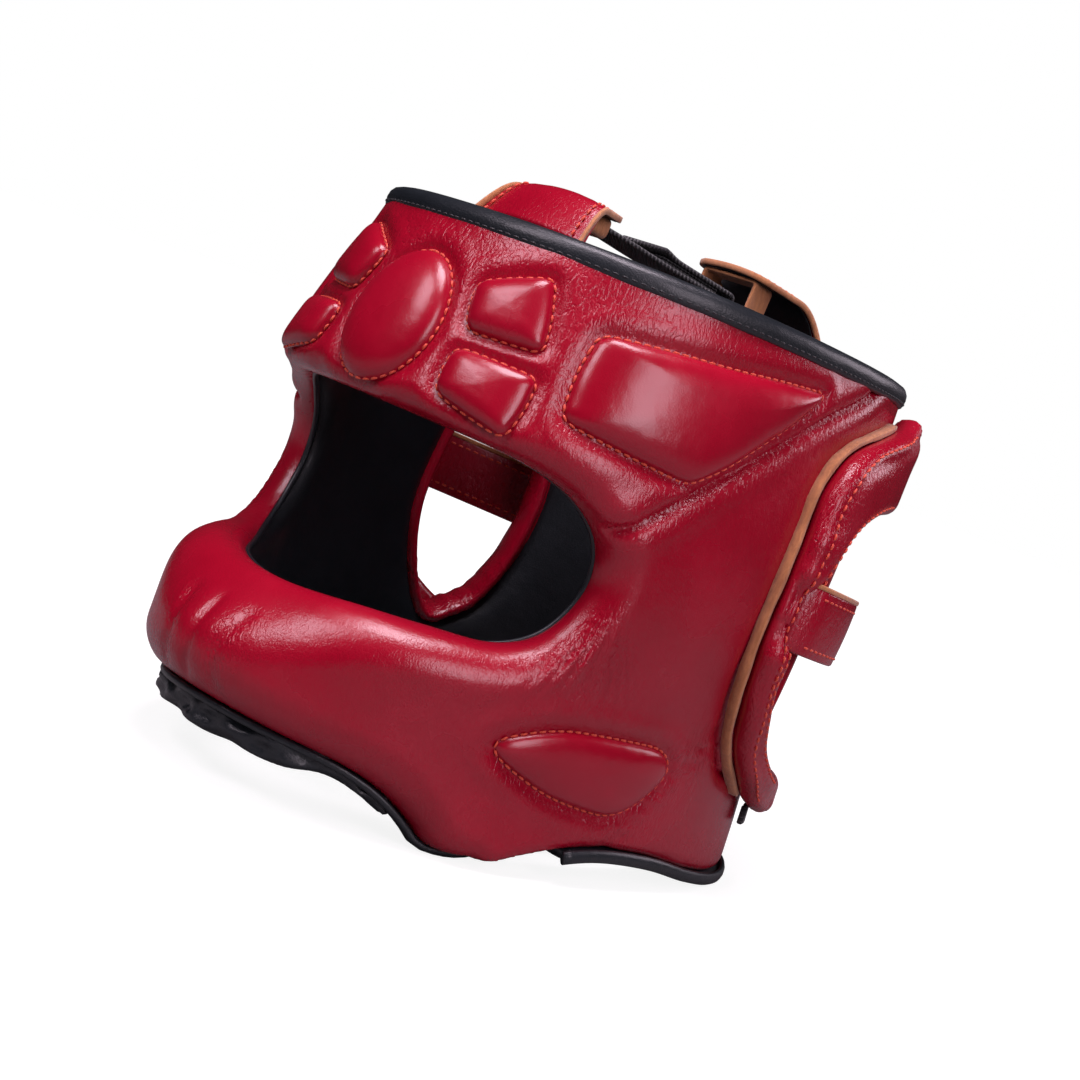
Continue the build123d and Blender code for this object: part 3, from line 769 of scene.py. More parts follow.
crease += groove(pad_near, 2.6, 1.3, 0.5, 7, 3.5)

# Long soft folds where the cheek turns into the bar, and down the jaw and beside the chin.
fan = np.degrees(np.arctan2(pz - FOLD_CENTRE[1], py - FOLD_CENTRE[0]))
reach = np.hypot(pz - FOLD_CENTRE[1], py - FOLD_CENTRE[0])
lower_corner = bell(reach - 24, 16) * step_up(-fan, 40, 75) * step_up(fan, -170, -140)
crease += lower_corner * 0.55 * np.sin(fan * 0.62 + 3 * np.sin(fan * 0.11)) * outer
jaw_fold = line_distance(py, pz, JAW_FOLD)
crease += bell(jaw_fold, 5) * (0.5 + 0.3 * np.sin(pz * 0.9))
front_fold = line_distance(np.abs(px), pz, FRONT_FOLD) + 60 * (py > -60)
crease += 0.8 * bell(front_fold, 2.2)
creased = 0.18 + 0.9 * lower_corner + 0.9 * bell(jaw_fold, 12) + 0.8 * bell(front_fold, 6)
creased += 0.55 * bell(seam_gap, 7) + 0.35 * bell(pad_near, 6)
creased += 0.35 * step_up(-py, 60, 90) * step_up(pz, -70, -20) * (pad_near > 4)
creased = np.clip(creased, 0, 1) * outer

normals = vertex_normals(points, triangles)
if (normals * (points - [0, 0, -100]))[inside < 4].sum() < 0:
    triangles, normals = triangles[:, ::-1], -normals
points = points - normals * (crease * outer)[:, None]
local_wall = WALL + (BAR_WALL - WALL) * bar_share(py, pz)
red_side = local_wall - np.where(py < -30, *RED_END) - inside
shell_rows = np.column_stack([points, creased])


def field_above_seam(rows):
    """Signed distance to the seam below the forehead panel, positive above it."""
    zone = np.vstack([seam_side, [(56, 90), (-220, 90), (-220, -101)]])
    return -outside_of(rows[:, 1], rows[:, 2], zone)


def field_back(rows):
    """Positive in the panel down the middle of the back."""
    return np.minimum(BACK_HALF_WIDTH - np.abs(rows[:, 0]), rows[:, 1] - BACK_PANEL_DEPTH)


def panel(name, mesh, material, replaced):
    """A padded piece from a clipped mesh, whose points carry how creased they are."""
    rows, faces = mesh[:2]
    piece = make(name, rows[:, :3], faces, material)
    if len(piece.data.vertices) == len(rows):
        attribute(piece, "creased", rows[:, 3])
    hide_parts(*replaced)


def wall_panels(field, material, plies, ending, cheek_ending):
    """The wall's surface where field is positive, as forehead, back and cheek panels; and the cut."""
    rows, faces, cut = clip(shell_rows, triangles, field)
    above = field_above_seam(rows)
    panel("forehead" + ending, clip(rows, faces, above), material, [f"forehead_{ply}" for ply in plies])
    rows, faces, _ = clip(rows, faces, -above)
    back = field_back(rows)
    panel("back" + ending, clip(rows, faces, back), material, [f"back_{ply}" for ply in plies])
    rows, faces, _ = clip(rows, faces, -back)
    for side, sign in SIDES:
        nodes = [f"{side}_cheek_{ply}" for ply in plies]
        if side == "left":
            nodes.append(f"bar_{plies[-1]}")
        panel(side + cheek_ending, clip(rows, faces, sign * rows[:, 0]), material, nodes)
    return cut


red_cut = wall_panels(red_side, "red_leather", ("shell", "foam"), "_leather", "_cheek_leather")
wall_panels(-red_side, "lining_leather", ("lining",), "_lining_leather", "_lining_leather")

# ---- pads ---------------------------------------------------------------------------------------

PAD_LIFT = {"centre": 6.6, "upper": 4.6, "lower": 4.4, "temple": 6.0, "jaw": 4.2}
PAD_RINGS = (1.0, 0.985, 0.965, 0.94, 0.91, 0.87, 0.82, 0.76, 0.68, 0.58, 0.46, 0.32, 0.17)
SEAM_SINK = 0.55                # of a pad's sewn outline below the leather round it


def dome(centre, line, rise):
    """A pillowed pad over the face: rings from its sewn outline in to its centre."""
    points, faces = [], []
    count = len(line)
    for share in PAD_RINGS:
        at = centre + (line - centre) * share
        lift = rise * (1 - share ** 3.2) ** 0.62 - 1.4 * share ** 30 - 0.25
        points.append(face(at[:, 0], at[:, 1]) + face_normal(at[:, 0], at[:, 1]) * lift)
    points = np.vstack(points + [face(*centre)[None] + face_normal(*centre)[None] * rise])
    for i in range(len(PAD_RINGS) - 1):
        for k in range(count):
            m = (k + 1) % count
            faces.append((i * count + k, i * count + m, (i + 1) * count + m, (i + 1) * count + k))
    last = (len(PAD_RINGS) - 1) * count
    faces += [(last + k, last + (k + 1) % count, len(points) - 1) for k in range(count)]
    a, b, c = (points[corner] for corner in faces[0][:3])
    if np.dot(np.cross(b - a, c - a), face_normal(*centre)) < 0:
        faces = [tuple(reversed(f)) for f in faces]
    return points, faces


for name, (centre, line) in outlines.items():
    kind = name.split("_")[-2]
    pad = make(name + "_leather", *dome(centre, line, PAD_LIFT[kind]), "pad_leather")
    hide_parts(name)
    angles, heights = np.vstack([line, line[:1]]).T
    up = face_normal(angles, heights)
    stitches(name + "_stitches", [(face(angles, heights) - up * SEAM_SINK, up)])

# ---- piping and bindings ------------------------------------------------------------------------

# The rim binding's section: inset from the shell's face, and height.
RIM_SECTION = [
    (-1.0, -8.3), (-1.9, -7.9), (-2.2, -6.9), (-2.5, -4.5), (-2.1, -2.2), (-0.9, -0.4), (2.0, 0.6),
    (7.0, 1.0), (12.0, 1.1), (17.0, 0.9), (20.5, 0.3), (22.6, -1.2), (23.4, -3.6), (23.2, -6.8),
    (22.6, -8.0), (21.8, -8.3), (20.0, -6.0), (10.0, -4.0), (1.0, -6.0),
]
PIPING_RADIUS = 1.25
BASE_BINDING_ANGLES = np.arange(68, 181, 2.0)
JAW_BINDING_ANGLES = np.arange(-70, 71, 2.0)


def is_face_window(loop):
    """Whether a closed line is the one round the face's window, by its length and middle."""
    middle = loop[:-1].mean(0)
    return len(loop) >= 60 and -160 < middle[2] < -90 and middle[1] < -40


for loop in loops_of(red_cut[..., :3]):
    if is_face_window(loop):
        smooth = loop[:-1]
        for _ in range(6):
            smooth = (np.roll(smooth, 1, 0) + 2 * smooth + np.roll(smooth, -1, 0)) / 4
        even = resample(np.vstack([smooth, smooth[:1]]), 2.5)[:-1]
        outwards = even - [0, -20, -118]
        outwards /= np.linalg.norm(outwards, axis=1, keepdims=True)
        strip("face_piping", even, outwards, ring_section(PIPING_RADIUS), "black_leather", closed=True)


def level_path(angles, level_of_y, inset):
    """Points round the shell on a line whose height depends on how far back it is."""
    z = np.zeros(len(angles))
    for _ in range(5):
        at = face(angles, z, inset)
        z = level_of_y(at[:, 1])
    return face(angles, z, inset)


def round_plate(width, thickness, bulge):
    """A soft binding's section: flat inside, crowned outside."""
    w, t = width / 2, thickness
    top = [(x, t + bulge * (1 - (x / w) ** 2)) for x in np.linspace(w * 0.9, -w * 0.9, 9)]
    low = [(x, -t * 0.4) for x in np.linspace(-w * 0.9, w * 0.9, 5)]
    return np.array(top + [(-w, t * 0.6), (-w, 0)] + low + [(w, 0), (w, t * 0.6)])


def downward(count):
    """The downward direction, once for each point of a path."""
    return np.tile([0.0, 0.0, -1.0], (count, 1))


# The rim's binding, with its own stitching along the outer edge.
around_rim = np.arange(0, 360, 2.0)
rim_points = np.array([
    level_path(around_rim, rim_level, inset) + [0, 0, height - 1.0] for inset, height in RIM_SECTION
])
ripple = 0.22 * np.sin(np.radians(around_rim) * 23) * np.sin(np.radians(around_rim) * 7 + 1)
rim_points[1:6, :, 2] += ripple
rim_faces = tube_faces(len(RIM_SECTION), len(around_rim), True)
rim = make("rim_binding_leather", rim_points.reshape(-1, 3), rim_faces, "black_leather")
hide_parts("rim_binding")
seam_angles = np.arange(0, 361, 1.0)
seam = level_path(seam_angles, rim_level, -2.35) + [0, 0, -7.2]
stitches("rim_stitches", [(seam, face_normal(seam_angles, seam[:, 2]))],
         material="black_thread", pitch=3.6, length=2.6, radius=0.38)

# Base bindings under the ears and neck, and under the jaw.
for side, sign in SIDES:
    angles = sign * BASE_BINDING_ANGLES
    path = level_path(angles, base_level, WALL / 2) + [0, 0, -1.2]
    strip(f"{side}_base_binding_leather", path, downward(len(path)), round_plate(WALL + 3, 2.6, 1.0),
          "black_leather", f"{side}_base_binding")
    edge = level_path(angles, base_level, -1.6) + [0, 0, -1.6]
    strip(f"{side}_base_piping", edge, face_normal(angles, edge[:, 2]), ring_section(2.1) * (1.25, 0.7),
          "black_leather")
path = level_path(JAW_BINDING_ANGLES, base_level, 16.5) + [0, 0, -0.2]
strip("jaw_binding_leather", path, downward(len(path)), round_plate(10, 1.8, 0.6),
      "black_leather", "chin_binding")


def side_points(line, inset, sign):
    """Points of a side-view line on the shell's side, and their normals."""
    half, front, back, square, back_square = profile(line[:, 1])
    reach = np.where(line[:, 0] < 0, front, back) - inset
    power = np.where(line[:, 0] < 0, square, back_square)
    x = (half - inset) * np.clip(1 - (np.abs(line[:, 0]) / reach) ** power, 0.02, 1) ** (1 / power)
    points = np.stack([sign * x, line[:, 0], line[:, 1]], 1)
    angles = np.degrees(np.arctan2(points[:, 0], -points[:, 1]))
    return points, face_normal(angles, points[:, 2])


# The rolled leather round the openings behind the ears, gathered at its foot.
ring = smooth_loop(SIDE_OPENING, 2.0)
outwards = np.roll(ring, -1, 0) - np.roll(ring, 1, 0)
outwards = np.stack([outwards[:, 1], -outwards[:, 0]], 1)
outwards /= np.linalg.norm(outwards, axis=1, keepdims=True)
roll_line = ring + outwards * ROLL_RADIUS
foot = step_up(-roll_line[:, 1], 128, 160)
turn = np.arange(20) * math.pi / 10
roll_section = np.stack([np.cos(turn) * (WALL / 2 + 0.8), np.sin(turn) * ROLL_RADIUS], 1)
beat = np.arange(len(roll_line))
gather = 1 + 0.15 * foot * np.sin(beat * 1.9) + 0.04 * np.sin(beat * 0.7)
sections = roll_section[None] * np.stack([np.ones(len(beat)), gather], 1)[:, None]
for side, sign in SIDES:
    path, up = side_points(roll_line, WALL / 2, sign)
    in_wall = np.cross(np.roll(path, -1, 0) - np.roll(path, 1, 0), up)
    in_wall /= np.linalg.norm(in_wall, axis=1, keepdims=True)
    roll = strip(f"{side}_opening_roll_leather", path, in_wall, sections, "red_leather",
                 f"{side}_opening_roll", closed=True)
    attribute(roll, "creased", np.repeat(0.25 + 0.7 * foot, len(roll_section)))

# ---- chin roll: gathered black leather under the bar ---------------------------------------------

CHIN_ROLL_INSET = 22.0          # of its middle from the shell's outer face
CHIN_ROLL_HALF = 8.5            # half its thickness
CHIN_ROLL_BACK = -97            # y where it ends

theta = np.arctan2(X, -Y)
share = step_up(-side_y, 95, 140)[None]
hang = 2.5 + 2.0 * share + 1.6 * np.sin(theta * 9 + 0.8) + 0.8 * np.sin(theta * 23 + side_z[None] * 0.25)
chin_gap = np.abs(side_z[None] - base_level(side_y)[None] + hang) - 3.2 - 2.2 * share
folds = 1.1 * np.sin(theta * 17) + 0.9 * np.sin(theta * 41 + side_z[None] * 0.5)
folds += 0.7 * np.sin(theta * 29 - side_z[None])
chin_ply = np.abs(depth - CHIN_ROLL_INSET - folds) - CHIN_ROLL_HALF
chin_volume = np.sqrt(np.maximum(chin_gap + 3, 0) ** 2 + np.maximum(chin_ply + 3, 0) ** 2) - 3
floor_gap = side_z - (FLOOR_AT_CENTRE + side_y * math.tan(STAND_TILT)) - 1.5
chin_volume = rounded_cut(chin_volume, floor_gap[None], 3.0)
chin_volume = rounded_cut(chin_volume, (CHIN_ROLL_BACK - side_y)[None], 5.0)
chin = make("chin_roll_leather", *surface(np.broadcast_to(chin_volume, depth.shape)), "black_leather")
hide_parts("chin_roll")

# ---- rear wings ---------------------------------------------------------------------------------

notch_edge = notch_side[notch_side[:, 0] < WING_BACK - 8]
wing_foot, wing_head = smooth_line(WING_ENDS[:5]), smooth_line(WING_ENDS[5:])
wing_ring = np.vstack([wing_side, wing_foot[1:], notch_edge[::-1], wing_head[:-1]])
wing_gap = -outside_of(side_y, side_z, wing_ring)[None]
wing_points, wing_faces = surface(rolled(WING_MIDDLE, WING_WALL, wing_gap))

# It is dented under the rear strap, and pleated and stitched down along its front edge.
wx, wy, wz = wing_points.T
wing_out = step_up(-depth_in(wx, wy, wz), 6, 9)
strap_middle = np.mean(STRAP_HEIGHTS)
strap_bed = np.exp(-((wz - strap_middle) / 15) ** 4)
edge_gap = line_distance(wy, wz, wing_side)
pleats = np.sin(wz * 0.33 + 1.7 * np.sin(wz * 0.07)) * bell(edge_gap, 16)
dent = (3.4 * strap_bed + 0.5 * pleats + 1.0 * bell(edge_gap - 6, 3)) * wing_out
wing_normals = vertex_normals(wing_points, wing_faces)
if (wing_normals * wing_points * (1, 1, 0))[wing_out > 0.5].sum() < 0:
    wing_faces, wing_normals = wing_faces[:, ::-1], -wing_normals
wing_points = wing_points - wing_normals * dent[:, None]
wing_creased = np.clip(0.25 + 0.5 * bell(edge_gap, 14) + 0.4 * strap_bed, 0, 1) * wing_out
wing_rows = np.column_stack([wing_points, wing_creased])
for side, sign in SIDES:
    panel(f"{side}_wing_leather", clip(wing_rows, wing_faces, sign * wing_rows[:, 0]), "red_leather",
          (f"{side}_wing_shell", f"{side}_wing_foam"))


def laid_on(path, up, cloud):
    """Path points moved along their normals onto the outermost of the surface points near them."""
    out = []
    for point, normal in zip(path, up):
        offset = cloud - point
        height = offset @ normal
        aside = np.linalg.norm(offset - height[:, None] * normal, axis=1)
        out.append(point + normal * height[aside < np.partition(aside, 3)[3] + 1.0].max())
    return np.array(out)


# The wings' raw front edge, and their stitching along it and beside the notch.
edge_line = wing_side[(wing_side[:, 1] < -11) & (wing_side[:, 1] > -176)]
edge_line = smooth_line(edge_line[::3], 2.0)
tangent = np.gradient(notch_edge, axis=0)
tangent /= np.linalg.norm(tangent, axis=1, keepdims=True)
notch_seam = notch_edge + np.stack([tangent[:, 1], -tangent[:, 0]], 1) * 5.0
notch_seam = notch_seam[notch_seam[:, 0] < 66]
for side, sign in SIDES:
    path, up = side_points(edge_line - [1.6, 0], -1.6, sign)
    beat = np.arange(len(path))
    wave = 0.5 * np.sin(beat * 0.31) + 0.3 * np.sin(beat * 0.83)
    section = plate(2.4, 4.4, 0.7)[None] * np.stack([1 + 0.2 * wave, 1 + 0.12 * wave], 1)[:, None]
    strip(f"{side}_wing_raw_edge", path, up, section, "raw_edge", f"{side}_wing_edge")
    outer_points = wing_points[(wing_out > 0.5) & (sign * wing_points[:, 0] > 0)]
    runs = []
    for line in (edge_line + [6.0, 0], notch_seam):
        path, up = side_points(line, -WING_FACE, sign)
        runs.append((laid_on(path, up, outer_points), up))
    stitches(f"{side}_wing_stitches", runs, pitch=4.0)

# ---- rear strap ---------------------------------------------------------------------------------

STRAP_ANGLES = (95.5, 150)              # of the sewn straps, from the front round to the back
TAB_ANGLES = (150.8, 208)               # of the free tab
TAB_ROUND_END = (208.5, 7.0)            # where its rounded end would close, and over how many degrees
TAB_SEAM_END = 202
PATCH_ANGLES = (157, 203)
TAB_LIFT = STRAP_LIFT + 1.3
REAR_PATCHES = (("rear_hook_patch", "rear_tab", 1.8), ("rear_loop_patch", "headgear", 0.6))
PATCH_SECTION = plate(21, 0.7, 0.3)
WEBBING_SECTION = plate(25, 1.7, 0.7)


def strap_path(start, end, lift):
    """A run of the rear strap: over the wings at the sides and down on the back panel."""
    angles = np.arange(start, end, 2.0)
    over = STRAP_OVER_WING * step_up(np.abs(180 - angles), *STRAP_DOWN)
    up = face_normal(angles, np.full(len(angles), strap_middle))
    return angles, face(angles, strap_middle, -lift - over), up


def patch(name, body, path, up):
    """A hook or loop patch sewn on a strap."""
    strip(name + "_tape", path, up, PATCH_SECTION, "closure_tape", name, body)


def both_edges(path, up, lift, border):
    """Two stitch runs along a strap's edges, at a height over its middle; below it when negative."""
    facing = up * np.sign(lift)
    return [(path + up * lift + [0, 0, edge * border], facing) for edge in (-1, 1)]


strap_width = STRAP_HEIGHTS[1] - STRAP_HEIGHTS[0]
border = strap_width / 2 - 3.6
for side, sign in SIDES:
    angles, path, up = strap_path(*STRAP_ANGLES, STRAP_LIFT)
    slack = 4.5 * bell(angles - 120, 15)
    tuck = 8.0 * bell(angles - STRAP_ANGLES[0], 2.6)
    path += up * (slack - tuck)[:, None]
    path, up = path * (sign, 1, 1), up * (sign, 1, 1)
    strap = strip(f"{side}_rear_strap_leather", path, up, plate(strap_width, 3.0, 1.1, 0.5),
                  "red_leather", f"{side}_rear_strap")
    attribute(strap, "creased", np.full(len(strap.data.vertices), 0.45))
    top_edge = path + [0, 0, strap_width / 2 + 0.5]
    strip(f"{side}_rear_strap_raw_edge", top_edge, up, plate(2.0, 3.8, 0.6), "raw_edge")
    runs = both_edges(path, up, 1.75, border) + both_edges(path, up, -1.65, border)
    stitches(f"{side}_rear_strap_stitches", runs, pitch=4.0)
angles, path, up = strap_path(*TAB_ANGLES, TAB_LIFT)
narrow = np.sqrt(np.clip((TAB_ROUND_END[0] - angles) / TAB_ROUND_END[1], 0.02, 1))
section = plate(strap_width - 2, 1.8, 0.8, 0.3)[None] * np.stack([narrow, np.ones(len(path))], 1)[:, None]
tab = strip("rear_strap_tab_leather", path, up, section, "red_leather", "rear_strap_tab", "rear_tab")
attribute(tab, "creased", np.full(len(tab.data.vertices), 0.4))
keep = angles < TAB_SEAM_END
runs = both_edges(path[keep], up[keep], 1.15, border - 0.8)
stitches("rear_tab_stitches", runs, body="rear_tab", pitch=4.0)
for name, body, lift in REAR_PATCHES:
    angles, path, up = strap_path(*PATCH_ANGLES, lift)
    patch(name, body, path, up)

# Small webbing tabs under the wings.
tab_line = np.column_stack([np.linspace(74, 86, 8), np.full(8, -182.0)])
for side, sign in SIDES:
    path, up = side_points(tab_line, -3.4, sign)
    strip(f"{side}_wing_tab_webbing", path, up, plate(8, 2.4, 0.8), "black_webbing", f"{side}_wing_tab")

# ---- crown --------------------------------------------------------------------------------------

# Each flap's depth at its root and at its free end, height at both, and the run over which it rises.
CROWN_FLAPS = {"front": (-89, -58, -9.0, 16.0, 18.0), "rear": (88, 38, 2.0, 27.0, 30.0)}
FLAP_ROOT_DEPTH = 92.0
FLAP_STEPS = 30
FLAP_ARCH = 0.0042              # how fast a flap falls to its sides
KEEPER_DEPTHS = {"front": -66.0, "rear": 46.0}
KEEPER_HALF_WIDTH = 14.2
KEEPER_BEND = 1.8
FLAP_LINING, KEEPER_LEATHER, WEBBING, PATCH = 1.2, 1.6, 1.8, 0.8       # thicknesses
CONTACT_GAP, SEWN_GAP, KEEPER_SLACK = 0.4, 0.05, 0.8
WEBBING_TOP = CROWN_FLAPS["front"][3] - FLAP_LINING - CONTACT_GAP - KEEPER_LEATHER - KEEPER_SLACK
KEEPER_LOW = WEBBING_TOP - 2 * WEBBING - KEEPER_SLACK - KEEPER_LEATHER / 2
CROWN_PATCHES = (("crown_loop_patch", "headgear", 0.45), ("crown_hook_patch", "crown_end", 1.6))
TAIL_LIFT = 2.95                # of the turned-back end's middle over the webbing's top


def upward(count):
    """The upward direction, once for each point of a path."""
    return np.tile([0.0, 0.0, 1.0], (count, 1))


def crown_path(depths, heights):
    """A path over the middle of the head."""
    return np.stack([np.zeros(len(depths)), depths, np.broadcast_to(heights, depths.shape)], 1)


def arched(section, halves):
    """A section of half width 1, widened to each half width and arched across."""
    wide = section[None] * np.stack([halves, np.ones(len(halves))], 1)[:, None]
    wide[..., 1] -= FLAP_ARCH * wide[..., 0] ** 2
    return wide


for flap, (near, far, root, top, run) in CROWN_FLAPS.items():
    depths = np.linspace(near, far, FLAP_STEPS)
    rise = np.minimum(1.0, (FLAP_ROOT_DEPTH - np.abs(depths)) / run)
    heights = root + (top - root) * np.sin(rise * math.pi / 2) + 1.0
    share = np.abs((depths - near) / (far - near))
    end = np.clip((1 - share) / 0.10, 0, 1)
    halves = (30 - 12 * share ** 0.8) * (0.80 + 0.20 * np.sqrt(1 - (1 - end) ** 2))
    path, up = crown_path(depths, heights), upward(FLAP_STEPS)
    piece = strip(f"{flap}_crown_flap_leather", path, up, arched(plate(2.0, 2.0, 0.7), halves),
                  "red_leather", f"{flap}_crown_flap")
    attribute(piece, "creased", np.full(len(piece.data.vertices), 0.35))
    strip(f"{flap}_flap_lining_leather", path - [0, 0, 1.6], up, arched(plate(1.9, 1.0, 0.4), halves),
          "lining_leather", f"{flap}_flap_lining")
    # The raw edge runs along one side, round the free end and back along the other side.
    endwards = np.sign(far - near)
    across = np.linspace(halves[-1], -halves[-1], 14)[1:-1]
    edge_x = np.concatenate([halves + 0.1, across, -(halves + 0.1)[::-1]])
    edge_y = np.concatenate([depths, np.full(12, depths[-1] + endwards * 0.3), depths[::-1]])
    edge_z = np.concatenate([heights, np.full(12, heights[-1]), heights[::-1]])
    fall = FLAP_ARCH * np.concatenate([halves, across, halves[::-1]]) ** 2
    edge = np.stack([edge_x, edge_y, edge_z - 0.3 - fall], 1)
    up = upward(len(edge))
    strip(f"{flap}_flap_raw_edge", edge, up, plate(1.6, 2.6, 0.6), "raw_edge")
    seam = edge * [0.86, 1, 1] - [0, endwards * 3.2, 0]
    order = np.argsort(depths)
    seam[:, 2] = np.interp(seam[:, 1], depths[order], heights[order]) + 1.0 - FLAP_ARCH * seam[:, 0] ** 2
    stitches(f"{flap}_flap_stitches", [(seam, up)], pitch=4.0)

# Keeper loops: a rounded rectangle under each flap, round the crown strap.
for flap, depth_at in KEEPER_DEPTHS.items():
    top = CROWN_FLAPS[flap][3] - 2.2
    ring = []
    for quarter, (along_x, along_z) in enumerate(((-1, -1), (-1, 1), (1, 1), (1, -1))):
        for bend in np.linspace(0, math.pi / 2, 5):
            angle = math.pi * 1.5 - quarter * math.pi / 2 - bend
            x = along_x * (KEEPER_HALF_WIDTH - KEEPER_BEND) + KEEPER_BEND * math.cos(angle)
            z = (top if along_z > 0 else KEEPER_LOW) - along_z * KEEPER_BEND + KEEPER_BEND * math.sin(angle)
            ring.append((x, depth_at, z))
    ring = np.array(ring)
    out = ring - [0, depth_at, (top + KEEPER_LOW) / 2]
    out[:, 1] = 0
    out /= np.linalg.norm(out, axis=1, keepdims=True)
    strip(f"{flap}_keeper_leather", ring, out, plate(13.5, 1.5, 0.5), "raw_edge",
          f"{flap}_keeper", closed=True)

# The woven crown strap, its closure, and its end turned back through the rear keeper.
depths = np.linspace(-76, 56, 60)
path = crown_path(depths, WEBBING_TOP - WEBBING / 2 + 0.105 * np.sin(depths * 0.12))
strip("crown_webbing_tape", path, upward(60), WEBBING_SECTION, "black_webbing", "crown_webbing")
for name, body, lift in CROWN_PATCHES:
    patch(name, body, crown_path(np.linspace(-17, 22, 20), WEBBING_TOP + lift), upward(20))
depths = np.linspace(-20, 29, 40)
path = crown_path(depths, WEBBING_TOP + TAIL_LIFT + 1.4 * bell(depths + 20, 6.5))
strip("crown_tail_webbing", path, upward(40), WEBBING_SECTION, "black_webbing", "crown_tail", "crown_end")
turn = np.linspace(math.pi / 2, -math.pi / 2, 12)
fold_middle = WEBBING_TOP + (TAIL_LIFT - WEBBING / 2) / 2
fold_height = (TAIL_LIFT + WEBBING / 2) / 2
path = crown_path(30 + 2.6 * np.cos(turn), fold_middle + fold_height * np.sin(turn))
strip("crown_tail_fold_webbing", path, crown_path(np.cos(turn), np.sin(turn)), plate(25, 1.6, 0.6),
      "black_webbing", "crown_tail_fold")

# ---- chin strap ---------------------------------------------------------------------------------

CHIN_STRAP_LOW = -219.2
CHIN_DEPTH = -9.0
CHIN_STRAP_ENDS = (-65, 58)
ANCHOR_X = 65.1
PATCH_LIFT = 1.3                # from a webbing's middle to the middle of the patch on it

strap_z = CHIN_STRAP_LOW + WEBBING / 2
closure = SEWN_GAP + PATCH + CONTACT_GAP + PATCH + SEWN_GAP
tab_z = CHIN_STRAP_LOW + WEBBING + closure + WEBBING / 2
# The left anchor turns under the chin and lies over the strap; the right one ends above it.
turned_under = [(63.6, tab_z + 1.4), (60.0, tab_z), (45.0, tab_z), (30.0, tab_z), (12.0, tab_z)]
for side, sign, ending in (("left", 1, turned_under), ("right", -1, [(-ANCHOR_X, tab_z + 1.0)])):
    line = smooth_line(np.array([(sign * ANCHOR_X, z) for z in (-178.0, -196.0, tab_z + 5)] + ending), 1.5)
    path = np.stack([line[:, 0], np.full(len(line), CHIN_DEPTH), line[:, 1]], 1)
    up = np.cross(np.gradient(path, axis=0), [0, 1.0, 0])
    up /= np.linalg.norm(up, axis=1, keepdims=True)
    strip(f"{side}_chin_anchor_webbing", path, up, WEBBING_SECTION, "black_webbing", f"{side}_chin_anchor")


def chin_path(start, end, count, height):
    """A straight run from right to left under the chin."""
    return np.stack([np.linspace(start, end, count), np.full(count, CHIN_DEPTH), np.full(count, height)], 1)


strip("chin_strap_webbing", chin_path(*CHIN_STRAP_ENDS, 60, strap_z), upward(60), WEBBING_SECTION,
      "black_webbing", "chin_strap", "chin_band")
patch("chin_hook_patch", "chin_band", chin_path(18, 52, 20, strap_z + PATCH_LIFT), upward(20))
patch("chin_loop_patch", "headgear", chin_path(18, 52, 20, tab_z - PATCH_LIFT), upward(20))

# The stiffener inside the bar stays as the frame gives it.
g = Graph("stiffener")
g.set(color=(0.03, 0.03, 0.034, 1), rough=0.5, normal=g.bump(g.noise(300.0), 0.0002, 0.4))
for item in bpy.data.objects["bar_core"].material_slots:
    item.material = materials["stiffener"]

# ---- floor and light ----------------------------------------------------------------------------

FLOOR_HALF = 6                  # metres
GLOW_FROM, GLOW_TO = 0.24, 0.60         # metres from the middle over which the floor turns white
LIGHT_TINT = (1.0, 0.86, 0.98)
# Each light's place and size in metres, and its power in watts.
LIGHTS = {
    "key": ((-0.25, -1.25, 1.35), (0.7, 0.7), 13),
    "side": ((1.45, -0.35, 0.75), (0.6, 1.0), 11),
    "top": ((0.12, -0.25, 1.5), (0.7, 0.7), 23),
    "back": ((0.6, 1.4, 0.8), (0.8, 0.6), 6),
}
LIGHTS_AIM = (0.0, 0.0, 0.13)

g = Graph("floor")
g.set(color=g.mix(g.noise(3.0), (0.24, 0.24, 0.24, 1), (0.26, 0.26, 0.26, 1)), rough=0.7, specular=0.2)
g.shader.inputs["Emission Color"].default_value = (1, 1, 1, 1)
place = g.node("ShaderNodeTexCoord").outputs["Object"]
away = g.node("ShaderNodeVectorMath", {0: place}, operation="LENGTH").outputs["Value"]
glow = g.ramp(away, GLOW_FROM, GLOW_TO, 0.88, 1.0)
to_camera = g.node("ShaderNodeLightPath").outputs["Is Camera Ray"]
g.tree.links.new(g.maths("MULTIPLY", glow, to_camera), g.shader.inputs["Emission Strength"])
floor_mesh = bpy.data.meshes.new("floor")
corners = [(x * FLOOR_HALF, y * FLOOR_HALF, 0) for x, y in ((-1, -1), (1, -1), (1, 1), (-1, 1))]
floor_mesh.from_pydata(corners, [], [(0, 1, 2, 3)])
floor_mesh.materials.append(materials["floor"])
floor = bpy.data.objects.new("floor", floor_mesh)
bpy.context.scene.collection.objects.link(floor)

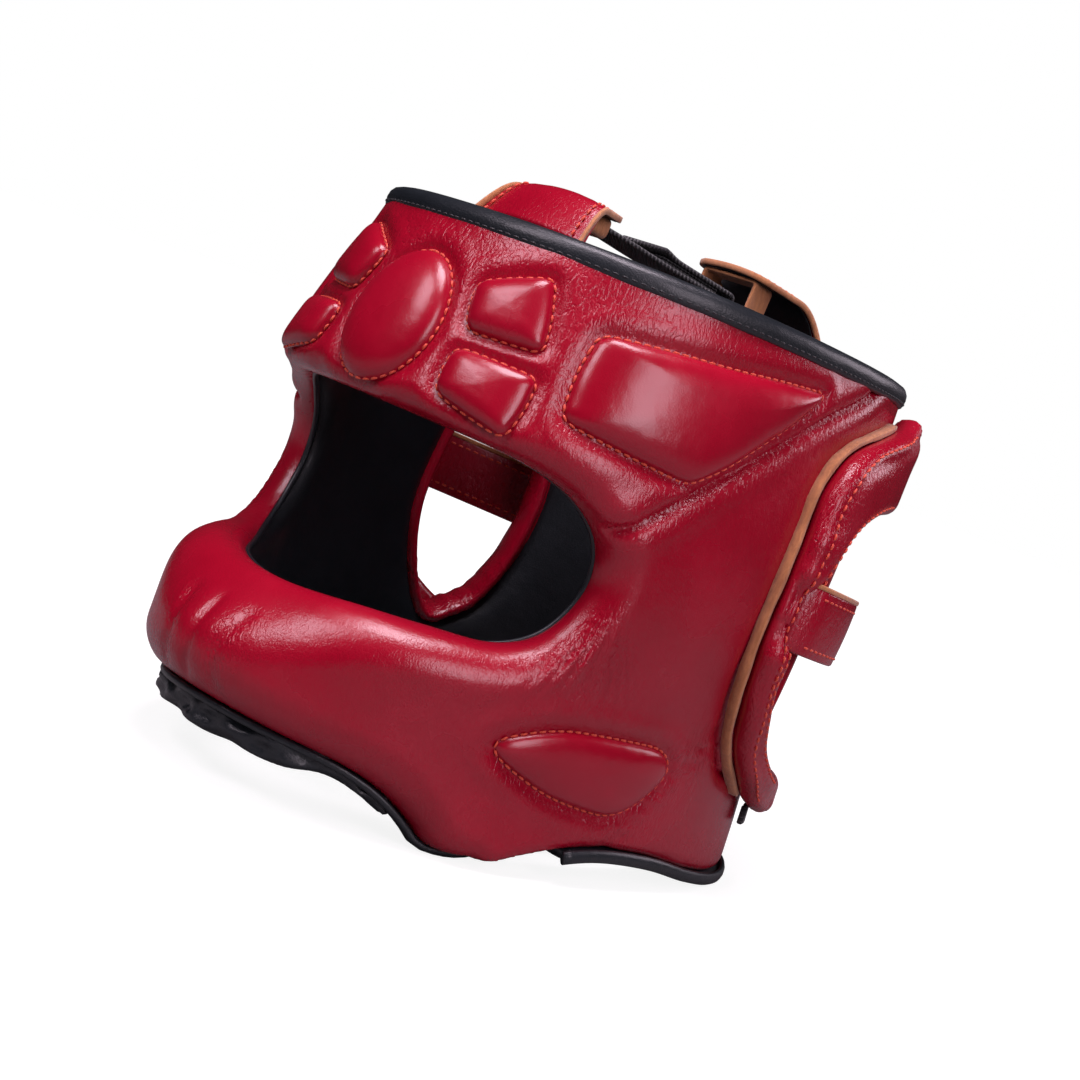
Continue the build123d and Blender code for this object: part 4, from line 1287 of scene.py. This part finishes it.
# The world is white paper to the camera and a faint cool fill to everything else.
world = bpy.data.worlds.new("studio")
bpy.context.scene.world = world
world.use_nodes = True
nodes, links = world.node_tree.nodes, world.node_tree.links
fill = nodes["Background"]
fill.inputs["Color"].default_value = (0.80, 0.83, 0.88, 1)
fill.inputs["Strength"].default_value = 0.02
paper = nodes.new("ShaderNodeBackground")
paper.inputs["Color"].default_value = (1, 1, 1, 1)
paper.inputs["Strength"].default_value = 1.0
ray = nodes.new("ShaderNodeLightPath")
blend = nodes.new("ShaderNodeMixShader")
links.new(ray.outputs["Is Camera Ray"], blend.inputs[0])
links.new(fill.outputs[0], blend.inputs[1])
links.new(paper.outputs[0], blend.inputs[2])
links.new(blend.outputs[0], nodes["World Output"].inputs[0])


def softbox(name, place, size, power):
    """A soft rectangular light in the row frame, aimed at the headgear's middle."""
    data = bpy.data.lights.new(name, "AREA")
    data.shape = "RECTANGLE"
    data.size, data.size_y = size
    data.energy = power
    data.color = LIGHT_TINT
    lamp = bpy.data.objects.new(name, data)
    lamp.location = place
    lamp.rotation_euler = (Vector(LIGHTS_AIM) - Vector(place)).to_track_quat("-Z", "Y").to_euler()
    bpy.context.scene.collection.objects.link(lamp)


for name, (place, size, power) in LIGHTS.items():
    softbox(name, place, size, power)

# ---- camera -------------------------------------------------------------------------------------

AZIMUTH = math.radians(40)              # round to the wearer's left from the front
DISTANCE, EYE_LEVEL = 850.0, -94.0
FOCAL = 1.9046                          # in image widths
ROLL = math.radians(23.4)
AIM = (-0.00486, -0.01993)              # of the picture's centre off the level line, across and up
SENSOR = 36                             # mm

ahead = np.array([-math.sin(AZIMUTH), math.cos(AZIMUTH), 0.0])
right = np.array([math.cos(AZIMUTH), math.sin(AZIMUTH), 0.0])
up = np.array([0.0, 0.0, 1.0])
view = ahead + right * AIM[0] + up * AIM[1]
view /= np.linalg.norm(view)
picture_right = math.cos(ROLL) * right + math.sin(ROLL) * up
picture_right -= view * np.dot(picture_right, view)
picture_right /= np.linalg.norm(picture_right)
picture_up = np.cross(picture_right, view)

camera_data = bpy.data.cameras.new("camera")
camera_data.sensor_width = SENSOR
camera_data.lens = SENSOR * FOCAL
camera_data.clip_start, camera_data.clip_end = 0.01, 100
camera = bpy.data.objects.new("camera", camera_data)
bpy.context.scene.collection.objects.link(camera)
axes = np.eye(4)
axes[:3, 0], axes[:3, 1], axes[:3, 2] = turned(picture_right), turned(picture_up), -turned(view)
axes[:3, 3] = stand(-ahead * DISTANCE + up * EYE_LEVEL)
camera.matrix_world = Matrix(axes.tolist())
bpy.context.scene.camera = camera
bpy.context.scene.view_settings.view_transform = "Standard"
